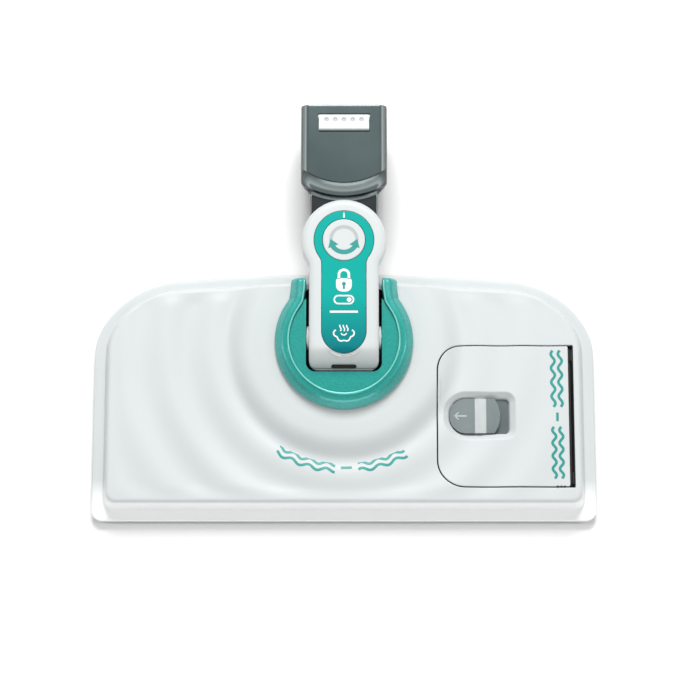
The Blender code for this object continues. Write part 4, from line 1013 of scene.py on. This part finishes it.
rows = []
for y in (77.0, 80.0, 83.0, 85.5, 87.0, 88.5, 90.0, 91.5, 93.0, 94.5, 97.0, 105.0, 115.0, 125.0, 135.0,
          139.3, 139.7, 140.0):
    tuck = 0.5 * max(0.0, END_ROLL - (SOCKET_END - y))
    half = socket_half_width(y - 7.5) - tuck
    low = 14.4 + 4.6 * (1.0 - share(y, 74.0, 95.0)) + tuck
    roll = min(8.0, (30.25 - low) * 0.62)
    row = [(half, y, 30.25)]
    row += [(x, y, z) for x, z in arc(half - roll, low + roll, roll, 0.0, -90.0, 14)]
    row += [(x, y, z) for x, z in closed_arc(roll - half, low + roll, roll, 270.0, 180.0, 14)]
    row += [(-half, y, 30.25)]
    rows.append(row)
rear_half = loft("socket_rear", rows)
combine(rear_half, socket_bore("mouth"), "DIFFERENCE")
combine(rear_half, pin("nipple_entry", 4.4, (0.0, 79.0, 25.4), 9.0, "Y"), "DIFFERENCE")
for x in (-17.6, 17.6):
    combine(rear_half, pin("screw_well", 2.8, (x, 90.0, 16.5), 12.8, "Z", sides=32), "DIFFERENCE")
    combine(rear_half, pin("screw_hole", 1.5, (x, 90.0, 26.0), 14.0, "Z", sides=24), "DIFFERENCE")
smooth(rear_half, 32.0)


def socket_material():
    """Metallic grey ABS: a satin face, with painted shade on the steep sides and the low arm, and painted
    highlights along the rounded edges.
    """
    made, tree, shader, place = new_material("metallic_grey_abs_socket")
    parts = add(tree, "ShaderNodeSeparateXYZ", {}, {"Vector": place.outputs["Object"]})
    facing = add(tree, "ShaderNodeSeparateXYZ", {}, {"Vector": place.outputs["Normal"]})
    # The arm, lower than the face, takes a darker tone: painted shade.
    painted_arm_shade_mask = spread(tree, parts.outputs["Z"], "From", 0.0383, 0.0400)
    flat = spread(tree, facing.outputs["Z"], "From", 0.91, 0.998)
    # Moulded grain of about 0.6 mm, and a drift of tone over about 25 mm.
    grain = noise(tree, place, 1600.0, 2.0)
    drift = noise(tree, place, 40.0, 2.0)
    speck = add(tree, "ShaderNodeMath", {"operation": "MULTIPLY_ADD", 1: 0.4},
                {0: grain.outputs["Fac"], 2: drift.outputs["Fac"]})
    face = mix(tree, "#3A4849", "#4F5E5F", speck.outputs["Value"])
    arm = mix(tree, "#1E2325", "#2A3032", speck.outputs["Value"])
    level = add(tree, "ShaderNodeMix", {"data_type": "RGBA"},
                {0: painted_arm_shade_mask.outputs["Result"], 6: arm.outputs[2], 7: face.outputs[2]})
    # The rounded edges carry a painted highlight, and the steep walls below them carry painted shade.
    edge = add(tree, "ShaderNodeValToRGB", {}, {"Fac": facing.outputs["Z"]})
    stops = edge.color_ramp.elements
    stops[0].position, stops[0].color = 0.25, linear("#1E2425")
    stops[1].position, stops[1].color = 0.99, linear("#536061")
    for position, colour in ((0.55, "#303839"), (0.78, "#94A1A1"), (0.92, "#B4BFBF")):
        stops.new(position).color = linear(colour)
    tone = add(tree, "ShaderNodeMix", {"data_type": "RGBA"},
               {0: flat.outputs["Result"], 6: edge.outputs["Color"], 7: level.outputs[2]})
    bump = roughen(tree, grain.outputs["Fac"], 0.25, 0.00005)
    wire(tree, shader, tone, bump=bump,
         values={"Metallic": 0.6, "Roughness": 0.27,
                 "Coat Weight": 0.35, "Coat Roughness": 0.18})
    return made


socket_grey = socket_material()
dress(front_half, socket_grey, "socket", "grey_plastic", "socket_front_shell")
dress(rear_half, socket_grey, "socket", "grey_plastic", "socket_rear_shell")


# ---------------------------------------------------------------- release button
# The release button is a white ABS rocker in a window of the socket. It slopes down to the rear,
# and a row of five moulded dimples in it stops the thumb from slipping.

button_side = [(123.9, 41.4), (123.9, 46.9)] + arc(125.0, 46.9, 1.1, 180.0, 80.0, 8)
button_side += arc(133.4, 45.6, 0.6, 80.0, 0.0, 5) + [(134.0, 45.6), (134.0, 42.2), (131.0, 41.4)]
button = profile_bar("button", button_side, -15.0, 15.0, "X")
bevel(button, 0.35)
for number in range(5):
    x = -10.4 + 5.2 * number
    bpy.ops.object.select_all(action="DESELECT")
    bpy.ops.mesh.primitive_uv_sphere_add(segments=24, ring_count=12, radius=2.2 * MM,
                                         location=(x * MM, 131.0 * MM, 48.35 * MM))
    combine(button, bpy.context.object, "DIFFERENCE")
combine(button, pin("button_bore", 1.1, (0.0, 132.3, 43.4), 40.0, "X", sides=24), "DIFFERENCE")
hook = block("button_hook", (-5.0, 5.0), (124.2, 127.0), (38.6, 42.0), 0.2)
combine(button, hook, "UNION")
smooth(button, 35.0)
dress(button, white_abs, "button", "white_abs", "release_button")
# The grey on the small faces deep in the dimples is painted shade.
button.data.materials.append(ink_material("painted_shade_in_dimples", "#BCC2C2"))
for side in button.data.polygons:
    centre = side.center / MM
    if 129.0 < centre.y < 133.0 and 45.9 < centre.z < 47.25 and side.area < 0.6 * MM * MM:
        side.material_index = 1


# ---------------------------------------------------------------- printed marks on the shell
# Two teal pad prints: waves round the front of the bell, and waves and drops down the door. They
# are plain steam marks that stand where words would be.

def on_arc(radius, degrees):
    """A point at a radius from the yoke's middle and at an angle."""
    turn = math.radians(degrees)
    return radius * math.cos(turn), radius * math.sin(turn)


bell_marks = []
for start, end in ((238.5, 266.0), (276.5, 299.0)):
    for lane in (76.2, 72.4):
        steps = int((end - start) * 5)
        wave = []
        for i in range(steps + 1):
            degrees = start + (end - start) * i / steps
            wave.append(on_arc(lane + 1.05 * math.sin(math.radians(degrees * 45.0)), degrees))
        bell_marks.append(ribbon("bell_wave", wave, 1.6, relief))
dash = [on_arc(74.3, 268.6 + 5.0 * i / 10) for i in range(11)]
bell_marks.append(ribbon("bell_dash", dash, 1.5, relief))
bell_print = merge("bell_steam_marks", *bell_marks)
dress(bell_print, teal_ink, "base", "teal_label")

door_marks = []
for low, high in ((-80.5, -50.0), (-38.0, -4.0)):
    for x in (124.0, 128.2):
        steps = int((high - low) * 3)
        wave = [(x + 1.1 * math.sin(math.tau * i / steps * round((high - low) / 8.4)),
                 low + (high - low) * i / steps) for i in range(steps + 1)]
        door_marks.append(ribbon("door_wave", wave, 1.6, relief))
dash = line((126.1, -46.6), (126.1, -41.4), 8) + [(126.1, -41.4)]
door_marks.append(ribbon("door_dash", dash, 1.5, relief))
door_print = merge("door_steam_marks", *door_marks)
dress(door_print, teal_ink, "door", "teal_label")


# ---------------------------------------------------------------- sole, and what lies inside
# The sole is a dark grey polypropylene plate with a row of steam holes. Two woven hook strips
# hold the pad. The cradle, springs, screws, pins, hoses and cup keep their CAD shapes.

sole_grey = grey_plastic_material("dark_grey_sole_polypropylene", "#3C4244", "#4E5557", 0.8, 0.4, 0.45)
inner_grey = grey_plastic_material("satin_grey_abs_retainer", "#7F8A8A", "#A3ACAC", 0.9, 0.5, 0.35)


def hook_strip_material():
    """Woven hook tape: rows of fine stiff hooks, drawn 1.4 mm apart, on a dark ground."""
    made, tree, shader, place = new_material("woven_hook_tape")
    hooks = add(tree, "ShaderNodeTexVoronoi", {"Scale": 714.0, "Randomness": 0.35},
                {"Vector": place.outputs["Object"]})
    tone = mix(tree, "#3A3B3E", "#121214", hooks.outputs["Distance"])
    bump = add(tree, "ShaderNodeBump", {"Strength": 0.9, "Distance": 0.0004, "invert": True},
               {"Height": hooks.outputs["Distance"]})
    wire(tree, shader, tone, bump=bump, values={"Roughness": 0.85, "Sheen Weight": 0.3})
    return made


def metal_material(name, dark, light, roughness, stretch):
    """Drawn or plated metal, with fine lines left by the tool."""
    made, tree, shader, place = new_material(name)
    turn = add(tree, "ShaderNodeMapping", {"Scale": stretch}, {"Vector": place.outputs["Object"]})
    settings = {"Scale": 1800.0, "Detail": 3.0}
    lines_ = add(tree, "ShaderNodeTexNoise", settings, {"Vector": turn.outputs["Vector"]})
    tone = mix(tree, dark, light, lines_.outputs["Fac"])
    gloss = spread(tree, lines_.outputs["Fac"], "To", roughness - 0.08, roughness + 0.08)
    wire(tree, shader, tone, gloss=gloss, values={"Metallic": 1.0})
    return made


def silicone_material(name, dark, light, clear):
    """Moulded silicone rubber: soft gloss, with a faint bloom of dust."""
    made, tree, shader, place = new_material(name)
    bloom = noise(tree, place, 500.0, 3.0)
    tone = mix(tree, dark, light, bloom.outputs["Fac"])
    gloss = spread(tree, bloom.outputs["Fac"], "To", 0.38, 0.55)
    wire(tree, shader, tone, gloss=gloss, values={"Transmission Weight": clear, "IOR": 1.41})
    return made


def felt_material():
    """Pressed wool felt: a matted pile of fine fibres."""
    made, tree, shader, place = new_material("pressed_wool_felt")
    pile = add(tree, "ShaderNodeTexNoise", {"Scale": 900.0, "Detail": 6.0, "Distortion": 1.5},
               {"Vector": place.outputs["Object"]})
    tone = mix(tree, "#C9C4B4", "#EAE6DA", pile.outputs["Fac"])
    bump = roughen(tree, pile.outputs["Fac"], 0.8, 0.0004)
    wire(tree, shader, tone, bump=bump, values={"Roughness": 0.95, "Sheen Weight": 0.4})
    return made


zinc = metal_material("zinc_plated_steel", "#8E9092", "#C4C6C8", 0.32, (1.0, 1.0, 1.0))
spring_steel = metal_material("drawn_spring_steel", "#7C7E80", "#B2B4B6", 0.28, (0.2, 1.0, 1.0))
black_steel = metal_material("black_oxide_steel", "#141415", "#242426", 0.4, (1.0, 0.2, 1.0))
brass = metal_material("turned_brass", "#A8863C", "#D2B069", 0.28, (1.0, 1.0, 3.0))

# The leaf spring under the button gives way as the button goes down.
leaf_side = [(112.0, 42.6), (118.0, 42.6), (122.6, 40.5), (128.4, 40.3), (128.4, 40.9), (122.9, 41.1),
             (118.2, 43.2), (112.0, 43.2)]
button_leaf = profile_bar("button_leaf", leaf_side, 7.0, 12.0, "X")
dress(button_leaf, spring_steel, "socket", "steel", "button_spring")
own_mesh(button_leaf)

red_silicone = silicone_material("red_oxide_silicone", "#A5492F", "#BF6246", 0.0)
clear_silicone = silicone_material("translucent_silicone_tube", "#D5DAD8", "#E8ECEA", 0.35)
finish_of = {}
for finish, names in (
        (sole_grey, "sole_plate"),
        (inner_grey, "latch_retainer"),
        (felt_material(), "perfume_pad"),
        (black_plastic, "hinge_cradle steam_manifold perfume_cup bush_left bush_right"),
        (black_plastic, "swivel_bush steam_nipple"),
        (hook_strip_material(), "hook_strip_left hook_strip_right"),
        (red_silicone, "manifold_gasket trunnion_seal nipple_seal"),
        (clear_silicone, "base_steam_hose neck_steam_tube"),
        (brass, "steam_trunnion swivel_spindle"),
        (black_steel, "door_hinge_pin"),
        (spring_steel, "latch_spring park_spring wave_washer spindle_clip")):
    finish_of.update(dict.fromkeys(names.split(), finish))
# The screws, pins and all else are zinc-plated steel.
for name, node in nodes.items():
    finish = finish_of.get(name, zinc)
    if not node.material_slots:
        node.data.materials.append(finish)
    for place in node.material_slots:
        place.material = finish


# ---------------------------------------------------------------- floor, light and camera
# A plain white floor, a large soft light behind and above, a low wide one ahead of the head, and
# the camera high over the front.

bpy.ops.object.select_all(action="DESELECT")
bpy.ops.mesh.primitive_plane_add(size=12.0, location=(0.0, 0.0, -0.0002))
floor = bpy.context.object
floor.name = "studio_floor"
paper, tree, shader, place = new_material("white_studio_paper")
fibre = noise(tree, place, 300.0, 3.0)
tone = mix(tree, "#F8F8F8", "#FBFBFB", fibre.outputs["Fac"])
wire(tree, shader, tone, values={"Roughness": 0.9, "Specular IOR Level": 0.1})
floor.data.materials.append(paper)
floor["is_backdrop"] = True


def softbox(name, place, aim, width, height, power):
    """A rectangular light at a place, turned towards a point."""
    light = bpy.data.lights.new(name, "AREA")
    light.shape = "RECTANGLE"
    light.size, light.size_y, light.energy = width, height, power
    obj = bpy.data.objects.new(name, light)
    bpy.context.scene.collection.objects.link(obj)
    obj.location = place
    reach = [b - a for a, b in zip(place, aim)]
    pitch = math.atan2(math.hypot(reach[0], reach[1]), -reach[2])
    obj.rotation_euler = (pitch, 0.0, math.atan2(reach[1], reach[0]) - math.pi / 2)
    return obj


softbox("rear_softbox", (0.04, 1.4, 1.55), (0.0, 0.0, 0.0), 0.8, 0.7, 38.0)
softbox("front_softbox", (0.15, -1.8, 0.55), (0.0, -0.1, 0.0), 2.2, 0.5, 10.0)
softbox("left_strip", (-1.3, 0.1, 1.0), (0.0, 0.0, 0.0), 0.12, 1.6, 4.5)
softbox("right_strip", (1.3, 0.1, 1.0), (0.0, 0.0, 0.0), 0.12, 1.6, 4.5)

world = bpy.data.worlds.new("studio")
bpy.context.scene.world = world
world.use_nodes = True
tree = world.node_tree
sky = add(tree, "ShaderNodeTexCoord", {}, {})
upright = add(tree, "ShaderNodeSeparateXYZ", {}, {"Vector": sky.outputs["Generated"]})
glow = spread(tree, upright.outputs["Z"], "To", 0.12, 0.55)
tree.links.new(glow.outputs["Result"], tree.nodes["Background"].inputs["Strength"])
tree.nodes["Background"].inputs["Color"].default_value = (1.0, 1.0, 1.0, 1.0)
bpy.context.scene.view_settings.view_transform = "Standard"

lens = bpy.data.cameras.new("camera")
lens.lens = 103.83
lens.sensor_width = 36.0
camera = bpy.data.objects.new("camera", lens)
bpy.context.scene.collection.objects.link(camera)
camera.location = (0.00357, -0.23277, 1.19795)
camera.rotation_euler = (math.radians(11.0), 0.0, 0.0)
bpy.context.scene.camera = camera

low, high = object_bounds()
